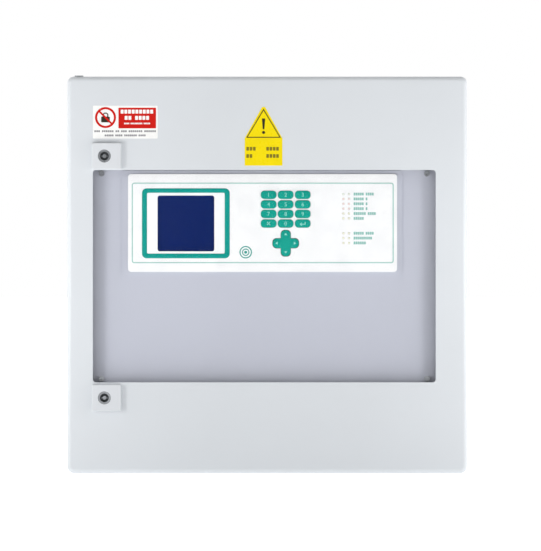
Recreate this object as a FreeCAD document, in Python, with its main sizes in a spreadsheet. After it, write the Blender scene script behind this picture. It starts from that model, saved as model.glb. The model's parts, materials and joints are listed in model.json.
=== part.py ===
"""Fire alarm control panel: a wall-mounted steel cabinet with a windowed door.

The origin is the middle of the cabinet's back, on the wall. +Z is up and the front faces -Y.
Distances from the wall, called "forward" below, are positive towards the front, so y = -forward.
All lengths are in millimetres.
"""

import FreeCAD, Part
import math
import os

import Sketcher
from FreeCAD import Placement, Rotation, Vector

# Driving dimensions. Each becomes a cell of the spreadsheet "dims", under the same name.
DIMENSIONS = {
    # cabinet and door
    "cabinet_width": 500.0,
    "cabinet_height": 496.0,
    "steel_sheet": 1.5,
    "corner_radius": 8.0,
    "back_edge_radius": 3.0,
    "body_depth": 187.0,
    "door_front": 210.0,
    "door_depth": 20.0,
    "door_edge_radius": 6.0,
    "lip_half_width": 229.7,
    "lip_half_height": 227.7,
    "lip_front": 198.7,
    "wall_hole_spacing": 450.0,
    "wall_hole_radius": 4.5,
    # window in the door
    "window_middle_x": -3.6,
    "window_middle_z": -1.7,
    "window_width": 428.4,
    "window_height": 265.3,
    "window_corner": 4.0,
    "pane_overlap": 5.0,
    "pane_thickness": 4.0,
    "seal_thickness": 1.0,
    "gasket_width": 10.0,
    "gasket_back": 199.0,
    # adhesive labels on the door
    "label_thickness": 0.2,
    "ban_label_left": -217.6,
    "ban_label_width": 80.9,
    "ban_label_low": 170.2,
    "ban_label_height": 41.1,
    "voltage_label_x": -4.5,
    "voltage_label_width": 47.0,
    "voltage_label_low": 136.4,
    "voltage_label_shoulder": 170.4,
    "voltage_label_top": 209.6,
    # locks
    "lock_x": -203.0,
    "upper_lock_z": 148.1,
    "lower_lock_z": -153.5,
    "boss_width": 36.4,
    "boss_height": 33.0,
    "boss_proud": 7.0,
    "boss_offset": 2.6,
    "barrel_radius": 9.0,
    "core_radius": 8.0,
    "keyway_radius": 5.4,
    "key_post_radius": 2.4,
    "cam_reach": 37.0,
    "cam_width": 18.0,
    "cam_back": 182.0,
    "cam_thickness": 3.0,
    "spindle_width": 7.0,
    # hinges
    "hinge_x": 243.0,
    "hinge_forward": 199.0,
    "hinge_spread": 170.0,
    "knuckle_radius": 4.3,
    "knuckle_half": 8.0,
    "lug_thickness": 5.0,
    "pin_radius": 2.0,
    "running_gap": 0.05,
    "side_gap": 0.3,
    # inner panel
    "panel_back": 191.5,
    "panel_half_width": 222.0,
    "panel_half_height": 137.0,
    "panel_screw_x": 204.0,
    "panel_screw_z": 128.7,
    "panel_screw_radius": 2.5,
    "module_left": -165.0,
    "module_right": 153.0,
    "module_bottom": 9.0,
    "module_top": 121.0,
    "bezel_thickness": 1.5,
    # fascia
    "fascia_left": -174.4,
    "fascia_right": 162.8,
    "fascia_bottom": 3.7,
    "fascia_top": 126.3,
    "fascia_thickness": 2.5,
    "fascia_corner": 4.0,
    "screen_left": -137.4,
    "screen_right": -66.3,
    "screen_bottom": 29.4,
    "screen_top": 99.4,
    "glass_half_width": 39.0,
    "glass_half_height": 38.0,
    "glass_thickness": 1.6,
    "screen_frame_rim": 4.0,
    "key_first_x": 1.8,
    "key_first_z": 100.3,
    "key_pitch_x": 21.4,
    "key_pitch_z": 12.0,
    "key_width": 19.3,
    "key_height": 10.1,
    "key_corner": 4.4,
    "key_gap": 0.3,
    "key_front": 198.2,
    "key_back": 193.6,
    "mat_half_width": 34.0,
    "mat_half_height": 25.5,
    "pad_x": 23.3,
    "pad_z": 39.6,
    "pad_span": 32.7,
    "pad_arm": 12.0,
    "pad_gap": 0.45,
    "pad_back": 194.0,
    "led_first_x": 95.6,
    "led_first_z": 101.2,
    "led_pitch_x": 6.9,
    "led_pitch_z": 6.1,
    "led_lower_z": 52.1,
    "led_radius": 1.3,
    "led_gap": 0.15,
    # boards behind the fascia and on the mounting plate
    "display_board_back": 188.8,
    "board_thickness": 1.6,
    "plate_back": 12.0,
    "plate_thickness": 2.0,
    "plate_half_width": 205.0,
    "plate_half_height": 215.0,
    "stud_x": 190.0,
    "stud_z": 200.0,
    "stud_radius": 4.0,
    "main_board_back": 26.0,
    # batteries
    "battery_width": 151.0,
    "battery_depth": 65.0,
    "battery_height": 94.0,
    "battery_floor": -230.5,
    # cable entry in the floor of the cabinet
    "entry_half_width": 150.0,
    "entry_back": 40.0,
    "entry_front": 110.0,
    "gland_plate_thickness": 2.0,
    "grommet_radius": 10.0,
    "grommet_bore_radius": 5.0,
    "grommet_pitch": 55.0,
}

doc = FreeCAD.newDocument("fire_alarm_panel")


class Size:
    """A length that carries its number and the spreadsheet formula that gives it."""

    def __init__(self, number, formula):
        self.number = number
        self.formula = formula

    def __add__(self, other):
        return Size(self.number + number(other), f"({self.formula} + {formula(other)})")

    def __sub__(self, other):
        return Size(self.number - number(other), f"({self.formula} - {formula(other)})")

    def __mul__(self, factor):
        return Size(self.number * factor, f"({self.formula} * {factor})")

    def __truediv__(self, divisor):
        return Size(self.number / divisor, f"({self.formula} / {divisor})")

    def __neg__(self):
        return Size(-self.number, f"(0 - {self.formula})")

    __radd__ = __add__
    __rmul__ = __mul__

    def __rsub__(self, other):
        return -self + other


def number(size):
    return size.number if isinstance(size, Size) else size


def formula(size):
    return size.formula if isinstance(size, Size) else str(size)


def write_dimensions():
    """Fill the spreadsheet, and give back its cells as Size values under their names."""
    sheet = doc.addObject("Spreadsheet::Sheet", "dims")
    sizes = {}
    for row, (name, value) in enumerate(DIMENSIONS.items(), start=1):
        sheet.set(f"A{row}", name)
        sheet.set(f"B{row}", str(value))
        sheet.setAlias(f"B{row}", name)
        sizes[name] = Size(value, f"dims.{name}")
    doc.recompute()
    return sizes


D = write_dimensions()


def bind(item, path, size):
    item.setExpression(path, formula(size))


def keep(item, label):
    """Mark an object as a finished piece, written out under its label."""
    item.Label = label
    pieces.append(item)
    return item


pieces = []


# --- shapes from primitives ------------------------------------------------------------------

def block(name, x, forward, z):
    """A block between two planes on each axis; each pair is (low, high)."""
    box = doc.addObject("Part::Box", name)
    bind(box, "Length", x[1] - x[0])
    bind(box, "Width", forward[1] - forward[0])
    bind(box, "Height", z[1] - z[0])
    bind(box, "Placement.Base.x", x[0])
    bind(box, "Placement.Base.y", 0 - forward[1])
    bind(box, "Placement.Base.z", z[0])
    return box


def rod(name, x, forward, z, radius):
    """A round bar along the depth; forward is (back end, front end)."""
    bar = doc.addObject("Part::Cylinder", name)
    bar.Placement = Placement(Vector(), Rotation(Vector(1, 0, 0), 90))
    bind(bar, "Radius", radius)
    bind(bar, "Height", forward[1] - forward[0])
    bind(bar, "Placement.Base.x", x)
    bind(bar, "Placement.Base.y", 0 - forward[0])
    bind(bar, "Placement.Base.z", z)
    return bar


def post(name, x, forward, z, radius):
    """A round bar standing upright; z is (low end, high end)."""
    bar = doc.addObject("Part::Cylinder", name)
    bind(bar, "Radius", radius)
    bind(bar, "Height", z[1] - z[0])
    bind(bar, "Placement.Base.x", x)
    bind(bar, "Placement.Base.y", 0 - forward)
    bind(bar, "Placement.Base.z", z[0])
    return bar


def fuse(name, shapes):
    joined = doc.addObject("Part::MultiFuse", name)
    joined.Shapes = shapes
    joined.Refine = True
    return joined


def cut(name, base, tools):
    tool = tools[0] if len(tools) == 1 else fuse(f"{name}_tools", tools)
    result = doc.addObject("Part::Cut", name)
    result.Base = base
    result.Tool = tool
    return result


def group(name, members):
    """Separate solids that share one file."""
    bundle = doc.addObject("Part::Compound", name)
    bundle.Links = members
    return keep(bundle, name)


def ring(name, x, forward, z, outer, inner):
    return cut(name, rod(f"{name}_disc", x, forward, z, outer), [rod(f"{name}_bore", x, forward, z, inner)])


# --- shapes from sketches --------------------------------------------------------------------

def new_body(name):
    return doc.addObject("PartDesign::Body", f"{name}_body")


def sketch_on(body, name, forward=0.0, role="XZ_Plane"):
    """An empty sketch facing the front, at a distance from the wall, or on another plane."""
    plane = next(item for item in body.Origin.OriginFeatures if item.Role == role)
    sketch = body.newObject("Sketcher::SketchObject", name)
    sketch.AttachmentSupport = [(plane, "")]
    sketch.MapMode = "FlatFace"
    bind(sketch, "AttachmentOffset.Base.z", forward)
    return sketch


def add_measures(sketch, measures):
    """Add driving constraints, each (kind, geometry, point, size), and bind them to the sheet."""
    first = sketch.ConstraintCount
    constraints = []
    for kind, geometry, point, size in measures:
        if kind == "Radius":
            constraints.append(Sketcher.Constraint(kind, geometry, number(size)))
        else:
            constraints.append(Sketcher.Constraint(kind, -1, 1, geometry, point, number(size)))
    sketch.addConstraint(constraints)
    for index, (_, _, _, size) in enumerate(measures):
        bind(sketch, f"Constraints[{first + index}]", size)


def rounded_rectangle(sketch, x, z, radius):
    """A rectangle with round corners; x and z are (low, high) in the sketch's own plane."""
    low_x, high_x, low_z, high_z, r = (number(size) for size in (*x, *z, radius))
    first = sketch.GeometryCount

    def side(x0, z0, x1, z1):
        return Part.LineSegment(Vector(x0, z0, 0), Vector(x1, z1, 0))

    def corner(centre_x, centre_z, quarter):
        circle = Part.Circle(Vector(centre_x, centre_z, 0), Vector(0, 0, 1), r)
        quarter_turn = math.pi / 2
        return Part.ArcOfCircle(circle, quarter * quarter_turn, (quarter + 1) * quarter_turn)

    sketch.addGeometry([
        side(low_x + r, low_z, high_x - r, low_z), corner(high_x - r, low_z + r, 3),
        side(high_x, low_z + r, high_x, high_z - r), corner(high_x - r, high_z - r, 0),
        side(high_x - r, high_z, low_x + r, high_z), corner(low_x + r, high_z - r, 1),
        side(low_x, high_z - r, low_x, low_z + r), corner(low_x + r, low_z + r, 2),
    ], False)
    bottom, right, top, left = first, first + 2, first + 4, first + 6
    constraints = []
    for offset in range(8):
        constraints.append(Sketcher.Constraint("Tangent", first + offset, 2, first + (offset + 1) % 8, 1))
    for line in (bottom, top):
        constraints.append(Sketcher.Constraint("Horizontal", line))
    for line in (right, left):
        constraints.append(Sketcher.Constraint("Vertical", line))
    for arc in (first + 3, first + 5, first + 7):
        constraints.append(Sketcher.Constraint("Equal", first + 1, arc))
    sketch.addConstraint(constraints)
    add_measures(sketch, [
        ("DistanceY", bottom, 1, z[0]), ("DistanceX", right, 1, x[1]), ("DistanceY", top, 1, z[1]),
        ("DistanceX", left, 1, x[0]), ("Radius", first + 1, 0, radius),
    ])


def circle(sketch, x, z, radius):
    index = sketch.GeometryCount
    centre = Vector(number(x), number(z), 0)
    sketch.addGeometry(Part.Circle(centre, Vector(0, 0, 1), number(radius)), False)
    add_measures(sketch, [("DistanceX", index, 3, x), ("DistanceY", index, 3, z), ("Radius", index, 0, radius)])


def polygon(sketch, corners):
    """Straight sides between corners, each (x, z)."""
    first = sketch.GeometryCount
    points = [Vector(number(x), number(z), 0) for x, z in corners]
    last = len(points) - 1
    sketch.addGeometry([Part.LineSegment(points[index], points[(index + 1) % len(points)])
                        for index in range(len(points))], False)
    sketch.addConstraint([Sketcher.Constraint("Coincident", first + index, 2,
                                              first if index == last else first + index + 1, 1)
                          for index in range(len(points))])
    measures = []
    for index, (x, z) in enumerate(corners):
        measures.append(("DistanceX", first + index, 1, x))
        measures.append(("DistanceY", first + index, 1, z))
    add_measures(sketch, measures)


def pad(body, sketch, length):
    """Grow the sketch forward by a length."""
    feature = body.newObject("PartDesign::Pad", f"{sketch.Name}_pad")
    feature.Profile = sketch
    bind(feature, "Length", length)
    doc.recompute()
    return feature


def pocket(body, sketch, length):
    """Cut backward from the sketch by a length, and make sure that it did cut."""
    before = body.Shape.Volume
    feature = body.newObject("PartDesign::Pocket", f"{sketch.Name}_pocket")
    feature.Profile = sketch
    bind(feature, "Length", length)
    doc.recompute()
    if body.Shape.Volume > before - 0.01:
        raise RuntimeError(f"{feature.Name} cut nothing")
    return feature


def repeat(body, feature, sketch, across, down):
    """Repeat a feature in a grid; across and down are (count, pitch)."""
    pattern = body.newObject("PartDesign::LinearPattern", f"{feature.Name}_grid")
    pattern.Originals = [feature]
    pattern.Direction = (sketch, ["H_Axis"])
    pattern.Occurrences = across[0]
    bind(pattern, "Length", across[1] * (across[0] - 1))
    pattern.Direction2 = (sketch, ["V_Axis"])
    pattern.Reversed2 = True
    pattern.Occurrences2 = down[0]
    bind(pattern, "Length2", down[1] * (down[0] - 1))
    body.Tip = pattern
    doc.recompute()
    return pattern


def edges_at(shape, forward):
    """Names of the edges that lie in one plane parallel to the wall."""
    names = []
    for index, edge in enumerate(shape.Edges, start=1):
        box = edge.BoundBox
        if abs(box.YMin + number(forward)) < 1e-4 and abs(box.YMax + number(forward)) < 1e-4:
            names.append(f"Edge{index}")
    return names


def face_at(shape, forward):
    """Name of the largest face that lies in one plane parallel to the wall."""
    flat = []
    for index, face in enumerate(shape.Faces, start=1):
        box = face.BoundBox
        if abs(box.YMin + number(forward)) < 1e-4 and abs(box.YMax + number(forward)) < 1e-4:
            flat.append((face.Area, f"Face{index}"))
    return max(flat)[1]


def round_edges(body, feature, forward, radius):
    fillet = body.newObject("PartDesign::Fillet", f"{feature.Name}_rounding")
    fillet.Base = (feature, edges_at(feature.Shape, forward))
    bind(fillet, "Radius", radius)
    doc.recompute()
    return fillet


def hollow(body, feature, open_forward):
    """Leave one sheet thickness of a solid, open at the face in the given plane."""
    shell = body.newObject("PartDesign::Thickness", f"{feature.Name}_shell")
    shell.Base = (feature, [face_at(feature.Shape, open_forward)])
    shell.Reversed = True
    bind(shell, "Value", D["steel_sheet"])
    doc.recompute()
    return shell


def plate(name, x, z, radius, forward, openings=(), holes=()):
    """A flat piece; openings are (x, z, radius) rectangles and holes are (x, z, radius) circles."""
    body = new_body(name)
    sketch = sketch_on(body, f"{name}_outline", forward[0])
    rounded_rectangle(sketch, x, z, radius)
    for opening in openings:
        rounded_rectangle(sketch, *opening)
    for hole in holes:
        circle(sketch, *hole)
    pad(body, sketch, forward[1] - forward[0])
    return body


def around(middle, half):
    return (middle - half, middle + half)


# --- cabinet body ----------------------------------------------------------------------------

def cabinet():
    sheet = D["steel_sheet"]
    half_width = D["cabinet_width"] / 2
    half_height = D["cabinet_height"] / 2
    body = new_body("cabinet")
    outline = sketch_on(body, "cabinet_outline")
    rounded_rectangle(outline, around(0, half_width), around(0, half_height), D["corner_radius"])
    solid = pad(body, outline, D["body_depth"])
    solid = round_edges(body, solid, 0.0, D["back_edge_radius"])
    hollow(body, solid, D["body_depth"])

    # shoulder that turns inward at the front, then a lip that stands forward for the gasket
    shoulder = sketch_on(body, "shoulder", D["body_depth"] - sheet)
    rounded_rectangle(shoulder, around(0, half_width - sheet / 2), around(0, half_height - sheet / 2),
                      D["corner_radius"] - sheet / 2)
    inner_x = around(0, D["lip_half_width"] - sheet)
    inner_z = around(0, D["lip_half_height"] - sheet)
    rounded_rectangle(shoulder, inner_x, inner_z, 4.0)
    pad(body, shoulder, sheet)
    lip = sketch_on(body, "lip", D["body_depth"] - sheet)
    rounded_rectangle(lip, around(0, D["lip_half_width"]), around(0, D["lip_half_height"]), 5.5)
    rounded_rectangle(lip, inner_x, inner_z, 4.0)
    pad(body, lip, D["lip_front"] - D["body_depth"] + sheet)

    wall_holes = sketch_on(body, "wall_holes", 5.0)
    for side in (-0.5, 0.5):
        for level in (-0.5, 0.5):
            circle(wall_holes, D["wall_hole_spacing"] * side, D["wall_hole_spacing"] * level,
                   D["wall_hole_radius"])
    pocket(body, wall_holes, 10.0)

    entry = sketch_on(body, "cable_entry", 5.0 - half_height, "XY_Plane")
    rounded_rectangle(entry, around(0, D["entry_half_width"]), (-D["entry_front"], -D["entry_back"]), 5.0)
    for x, forward in gland_screw_places():
        circle(entry, x, 0 - forward, 2.1)
    pocket(body, entry, 10.0)
    keep(body, "enclosure_body")


def gland_screw_places():
    return [(x, forward) for x in (-158.0, 158.0) for forward in (35.0, 115.0)]


def grommet_places():
    return [D["grommet_pitch"] * step for step in (-2, -1, 0, 1, 2)]


def cable_entry():
    """Plate, screws and membrane grommets that close the opening in the cabinet's floor."""
    floor = D["steel_sheet"] - D["cabinet_height"] / 2
    top = floor + D["gland_plate_thickness"]
    middle = (D["entry_back"] + D["entry_front"]) / 2
    base = block("gland_blank", (-165.0, 165.0), (28.0, 122.0), (floor, top))
    bores = [post(f"gland_bore_{index}", x, middle, (floor - 1.0, top + 1.0), D["grommet_radius"] + 0.1)
             for index, x in enumerate(grommet_places())]
    bores += [post(f"gland_screw_bore_{index}", x, forward, (floor - 1.0, top + 1.0), 2.1)
              for index, (x, forward) in enumerate(gland_screw_places())]
    keep(cut("gland_cut", base, bores), "gland_plate")

    screws = []
    for index, (x, forward) in enumerate(gland_screw_places()):
        shank = post(f"gland_shank_{index}", x, forward, (floor - 1.4, top), 2.0)
        head = post(f"gland_head_{index}", x, forward, (top, top + 2.6), 4.0)
        screws.append(fuse(f"gland_screw_{index}", [shank, head]))
    group("gland_screws", screws)

    grommets = []
    for index, x in enumerate(grommet_places()):
        neck = post(f"grommet_neck_{index}", x, middle, (floor, top), D["grommet_radius"])
        below = post(f"grommet_below_{index}", x, middle, (floor - 1.4, floor), 13.0)
        above = post(f"grommet_above_{index}", x, middle, (top, top + 2.0), 13.0)
        bore = post(f"grommet_bore_{index}", x, middle, (floor - 2.0, top + 3.0), D["grommet_bore_radius"])
        grommets.append(cut(f"grommet_{index}", fuse(f"grommet_blank_{index}", [neck, below, above]), [bore]))
    group("cable_grommets", grommets)


# --- what the cabinet holds ------------------------------------------------------------------

def mounting_plate():
    back = D["plate_back"]
    front = back + D["plate_thickness"]
    places = [(D["stud_x"] * side, D["stud_z"] * level) for side in (-1, 1) for level in (-1, 1)]
    holes = [(x, z, D["stud_radius"] + 0.3) for x, z in places]
    body = plate("mounting", around(0, D["plate_half_width"]), around(0, D["plate_half_height"]), 3.0,
                 (back, front), holes=holes)
    keep(body, "mounting_plate")
    fixings = []
    for index, (x, z) in enumerate(places):
        bore = D["stud_radius"] + D["running_gap"]
        fixings.append(rod(f"stud_{index}", x, (D["steel_sheet"], 22.0), z, D["stud_radius"]))
        fixings.append(ring(f"stud_spacer_{index}", x, (D["steel_sheet"], back), z, 8.0, bore))
        fixings.append(ring(f"stud_nut_{index}", x, (front, front + 6.0), z, 6.5, bore))
    group("mounting_studs", fixings)


def batteries():
    plate_front = D["plate_back"] + D["plate_thickness"]
    floor = D["battery_floor"]
    x = (-172.0, 150.0)
    shelf = block("tray_floor", x, (plate_front, plate_front + 71.0), (floor - 1.5, floor))
    upright = block("tray_back", x, (plate_front, plate_front + 1.5), (floor - 1.5, floor + 40.0))
    lip = block("tray_lip", x, (plate_front + 69.5, plate_front + 71.0), (floor - 1.5, floor + 15.0))
    keep(fuse("tray", [shelf, upright, lip]), "battery_tray")
    back = plate_front + 2.5
    front = back + D["battery_depth"]
    for label, left in (("battery_left", -165.0), ("battery_right", -8.0)):
        right = left + D["battery_width"]
        top = floor + D["battery_height"]
        case = block(f"{label}_case", (left, right), (back, front), (floor, top - 6.0))
        lid = block(f"{label}_lid", (left + 2.0, right - 2.0), (back + 2.0, front - 2.0), (top - 6.0, top))
        tabs = [block(f"{label}_tab_{index}", (x0, x0 + 6.3), (back + 12.0, back + 12.8), (top, top + 6.0))
                for index, x0 in enumerate((left + 12.0, right - 18.3))]
        keep(fuse(label, [case, lid, *tabs]), label)


def boards():
    """Power supply, main board with its spacers, terminals and relays."""
    front = D["plate_back"] + D["plate_thickness"]
    case = block("supply_case", (45.0, 200.0), (front, front + 38.0), (75.0, 173.0))
    recess = block("supply_recess", (45.0, 62.0), (front + 20.0, front + 40.0), (80.0, 168.0))
    strip = block("supply_strip", (46.0, 60.0), (front + 20.0, front + 33.0), (84.0, 164.0))
    keep(fuse("supply", [cut("supply_cut", case, [recess]), strip]), "power_supply")

    board_back = D["main_board_back"]
    board_front = board_back + D["board_thickness"]
    x = (-195.0, 30.0)
    z = (-70.0, 175.0)
    corners = [(x[0] + 6.0, z[0] + 6.0), (x[1] - 6.0, z[0] + 6.0), (x[0] + 6.0, z[1] - 6.0),
               (x[1] - 6.0, z[1] - 6.0)]
    keep(plate("main", x, z, 2.0, (board_back, board_front)), "main_board")
    spacers = [rod(f"board_spacer_{index}", px, (front, board_back), pz, 3.5)
               for index, (px, pz) in enumerate(corners)]
    display_front = D["display_board_back"] + D["board_thickness"]
    for index, (px, pz) in enumerate(display_board_corners()):
        spacers.append(rod(f"display_spacer_{index}", px, (display_front, D["panel_back"]), pz, 3.0))
    group("board_spacers", spacers)

    terminals = []
    for index in range(7):
        left = -180.0 + 28.0 * index
        terminals.append(block(f"terminal_{index}", (left, left + 25.0), (board_front, board_front + 12.0),
                               (-66.0, -54.0)))
    group("board_terminals", terminals)
    relays = [block(f"relay_{index}", (-185.0 + 24.0 * index, -166.0 + 24.0 * index),
                    (board_front, board_front + 15.0), (135.0, 151.0)) for index in range(4)]
    group("board_relays", relays)


def mains_side():
    """Rail with the incoming mains terminals and the fuse holder."""
    front = D["plate_back"] + D["plate_thickness"]
    web = block("rail_web", (50.0, 200.0), (front, front + 1.0), (-54.0, -30.0))
    walls = [block(f"rail_wall_{index}", (50.0, 200.0), (front, front + 7.5), (low, low + 1.0))
             for index, low in enumerate((-55.0, -30.0))]
    flanges = [block(f"rail_flange_{index}", (50.0, 200.0), (front + 6.5, front + 7.5), (low, low + 5.0))
               for index, low in enumerate((-60.0, -29.0))]
    keep(fuse("rail", [web, *walls, *flanges]), "din_rail")
    rail_front = front + 7.5
    clamps = [block(f"clamp_{index}", (60.0 + 9.0 * index, 68.4 + 9.0 * index), (rail_front, rail_front + 38.0),
                    (-66.0, -18.0)) for index in range(4)]
    group("mains_terminals", clamps)
    holder = block("holder_case", (112.0, 130.0), (rail_front, rail_front + 45.0), (-82.0, -3.0))
    nose = block("holder_nose", (114.0, 128.0), (rail_front + 45.0, rail_front + 58.0), (-65.0, -20.0))
    keep(fuse("holder", [holder, nose]), "fuse_holder")


# --- inner panel and control module ----------------------------------------------------------

def panel_screw_places():
    return [(D["window_middle_x"] + D["panel_screw_x"] * side, D["window_middle_z"] + D["panel_screw_z"] * level)
            for side in (-1, 1) for level in (-1, 1)]


def panel_supports():
    """Folded brackets, one each side, that carry the inner panel from the cabinet's side walls."""
    sheet = D["steel_sheet"]
    wall = D["cabinet_width"] / 2 - sheet
    front = D["panel_back"]
    z = around(D["window_middle_z"], 134.0)
    brackets = []
    for name, side in (("left", -1), ("right", 1)):
        leg = D["window_middle_x"] + 211.0 * side

        def span(one, other):
            return (one, other) if number(one) < number(other) else (other, one)

        flange = block(f"{name}_wall_flange", span(wall * side, (wall - sheet) * side), (150.0, 180.0), z)
        web = block(f"{name}_web", span(wall * side, leg), (150.0, 150.0 + sheet), z)
        upright = block(f"{name}_leg", span(leg, leg + sheet * side), (150.0, front), z)
        tab = block(f"{name}_tab", span(leg + sheet * side, leg - 14.0 * side), (front - sheet, front), z)
        bores = [rod(f"{name}_bore_{index}", x, (front - 5.0, front + 1.0), pz, D["panel_screw_radius"] + 0.1)
                 for index, (x, pz) in enumerate(panel_screw_places()) if number(x) * side > 0]
        brackets.append(cut(f"{name}_bracket", fuse(f"{name}_fold", [flange, web, upright, tab]), bores))
    group("panel_brackets", brackets)


def inner_panel():
    sheet = D["steel_sheet"]
    back = D["panel_back"]
    module_x = (D["module_left"], D["module_right"])
    module_z = (D["module_bottom"], D["module_top"])
    holes = [(x, z, D["panel_screw_radius"] + 0.1) for x, z in panel_screw_places()]
    body = plate("inner", around(D["window_middle_x"], D["panel_half_width"]),
                 around(D["window_middle_z"], D["panel_half_height"]), 3.0, (back, back + sheet),
                 openings=[(module_x, module_z, 3.0)], holes=holes)
    keep(body, "inner_panel")
    screws = []
    for index, (x, z) in enumerate(panel_screw_places()):
        shank = rod(f"panel_shank_{index}", x, (back - 6.0, back + sheet), z, D["panel_screw_radius"])
        head = rod(f"panel_head_{index}", x, (back + sheet, back + sheet + 2.2), z, 3.6)
        socket = rod(f"panel_socket_{index}", x, (back + sheet + 0.8, back + sheet + 3.0), z, 1.5)
        screws.append(cut(f"panel_screw_{index}", fuse(f"panel_screw_blank_{index}", [shank, head]), [socket]))
    group("panel_screws", screws)
    bezel_back = back + sheet
    bezel = plate("bezel", (D["fascia_left"] - 7.4, D["fascia_right"] + 6.1),
                  (D["fascia_bottom"] - 4.6, D["fascia_top"] + 4.2), 4.0,
                  (bezel_back, bezel_back + D["bezel_thickness"]), openings=[(module_x, module_z, 3.0)])
    keep(bezel, "module_bezel")


def fascia_back():
    return D["panel_back"] + D["steel_sheet"] + D["bezel_thickness"]


def fascia():
    """White front plate of the control module, with openings for screen, keys, pad and lights."""
    back = fascia_back()
    front = back + D["fascia_thickness"]
    x = (D["fascia_left"], D["fascia_right"])
    z = (D["fascia_bottom"], D["fascia_top"])
    screen = ((D["screen_left"], D["screen_right"]), (D["screen_bottom"], D["screen_top"]), 3.0)
    body = plate("fascia", x, z, D["fascia_corner"], (back, front), openings=[screen])

    key_hole = sketch_on(body, "key_hole", front)
    gap = D["key_gap"]
    rounded_rectangle(key_hole, around(D["key_first_x"], D["key_width"] / 2 + gap),
                      around(D["key_first_z"], D["key_height"] / 2 + gap), D["key_corner"] + gap)
    first = pocket(body, key_hole, D["fascia_thickness"])
    repeat(body, first, key_hole, (3, D["key_pitch_x"]), (4, D["key_pitch_z"]))

    for name, top, rows in (("upper", D["led_first_z"], 6), ("lower", D["led_lower_z"], 3)):
        hole = sketch_on(body, f"{name}_led_hole", front)
        circle(hole, D["led_first_x"], top, D["led_radius"] + D["led_gap"])
        first = pocket(body, hole, D["fascia_thickness"])
        repeat(body, first, hole, (2, D["led_pitch_x"]), (rows, D["led_pitch_z"]))

    reach = D["pad_span"] / 2 + D["pad_gap"]
    arm = D["pad_arm"] / 2 + D["pad_gap"]
    across = sketch_on(body, "pad_hole_across", front)
    rounded_rectangle(across, around(D["pad_x"], reach), around(D["pad_z"], arm), 5.2)
    pocket(body, across, D["fascia_thickness"])
    upright = sketch_on(body, "pad_hole_upright", front)
    rounded_rectangle(upright, around(D["pad_x"], arm), around(D["pad_z"], reach), 5.2)
    pocket(body, upright, D["fascia_thickness"])
    keep(body, "fascia")


def keys():
    """Twelve keys, numbered row by row, on a rubber mat."""
    names = ["one", "two", "three", "four", "five", "six", "seven", "eight", "nine", "escape", "zero", "enter"]
    for index, name in enumerate(names):
        x = D["key_first_x"] + D["key_pitch_x"] * (index % 3)
        z = D["key_first_z"] - D["key_pitch_z"] * (index // 3)
        body = plate(f"key_{name}", around(x, D["key_width"] / 2), around(z, D["key_height"] / 2),
                     D["key_corner"], (D["key_back"], D["key_front"]))
        round_edges(body, body.Tip, D["key_front"], 0.5)
        keep(body, f"key_{name}")
    mat_x = around(D["key_first_x"] + D["key_pitch_x"], D["mat_half_width"])
    mat_z = around(D["key_first_z"] - D["key_pitch_z"] * 1.5, D["mat_half_height"])
    display_front = D["display_board_back"] + D["board_thickness"]
    keep(plate("mat", mat_x, mat_z, 3.0, (display_front, D["key_back"] - 0.6)), "keypad_mat")


def cursor_pad():
    """Four-way pad that rocks on a ring; the ring rocks up and down, the pad on it left and right."""
    x, z = D["pad_x"], D["pad_z"]
    reach = D["pad_span"] / 2
    arm = D["pad_arm"] / 2
    depth = (D["pad_back"], D["key_front"])
    across = plate("pad_across", around(x, reach), around(z, arm), 5.0, depth)
    upright = plate("pad_upright", around(x, arm), around(z, reach), 5.0, depth)
    stem = rod("pad_stem", x, (D["pad_back"] - 2.0, D["pad_back"]), z, 2.5)
    keep(fuse("pad_cross", [across, upright, stem]), "cursor_pad")
    keep(ring("pad_ring", x, (D["pad_back"] - 2.2, D["pad_back"] - 1.0), z, 9.0, 4.0), "cursor_pivot")


def display_board_corners():
    return [(x, z) for x in (D["module_left"] - 3.5, D["module_right"] + 3.5)
            for z in (D["module_bottom"] - 3.5, D["module_top"] + 3.5)]


def display():
    """Board behind the fascia with the screen, the lights and the sounder."""
    back = D["display_board_back"]
    front = back + D["board_thickness"]
    keep(plate("display", (D["module_left"] - 7.0, D["module_right"] + 7.0),
               (D["module_bottom"] - 7.0, D["module_top"] + 7.0), 2.0, (back, front)), "display_board")
    middle_x = (D["screen_left"] + D["screen_right"]) / 2
    middle_z = (D["screen_bottom"] + D["screen_top"]) / 2
    glass_front = fascia_back() - 0.1
    glass_back = glass_front - D["glass_thickness"]
    rim = D["screen_frame_rim"]
    keep(plate("screen_frame", around(middle_x, D["glass_half_width"] + rim),
               around(middle_z, D["glass_half_height"] + rim), 1.5, (front, glass_back)), "lcd_frame")
    keep(plate("screen_glass", around(middle_x, D["glass_half_width"]), around(middle_z, D["glass_half_height"]),
               1.0, (glass_back, glass_front)), "lcd_glass")
    keep(rod("sounder", 70.0, (back - 10.0, back), 30.0, 11.0), "buzzer")

    rows = [D["led_first_z"] - D["led_pitch_z"] * row for row in range(6)]
    rows += [D["led_lower_z"] - D["led_pitch_z"] * row for row in range(3)]
    tip = fascia_back() + D["fascia_thickness"] + 0.6
    for label, chosen in (("leds_green", rows[:1]), ("leds_red", rows[1:4]), ("leds_yellow", rows[4:])):
        lights = []
        for index, level in enumerate(chosen):
            for column in (0, 1):
                x = D["led_first_x"] + D["led_pitch_x"] * column
                lights.append(rod(f"{label}_{index}_{column}", x, (front, tip), level, D["led_radius"]))
        group(label, lights)


# --- door ------------------------------------------------------------------------------------

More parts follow.
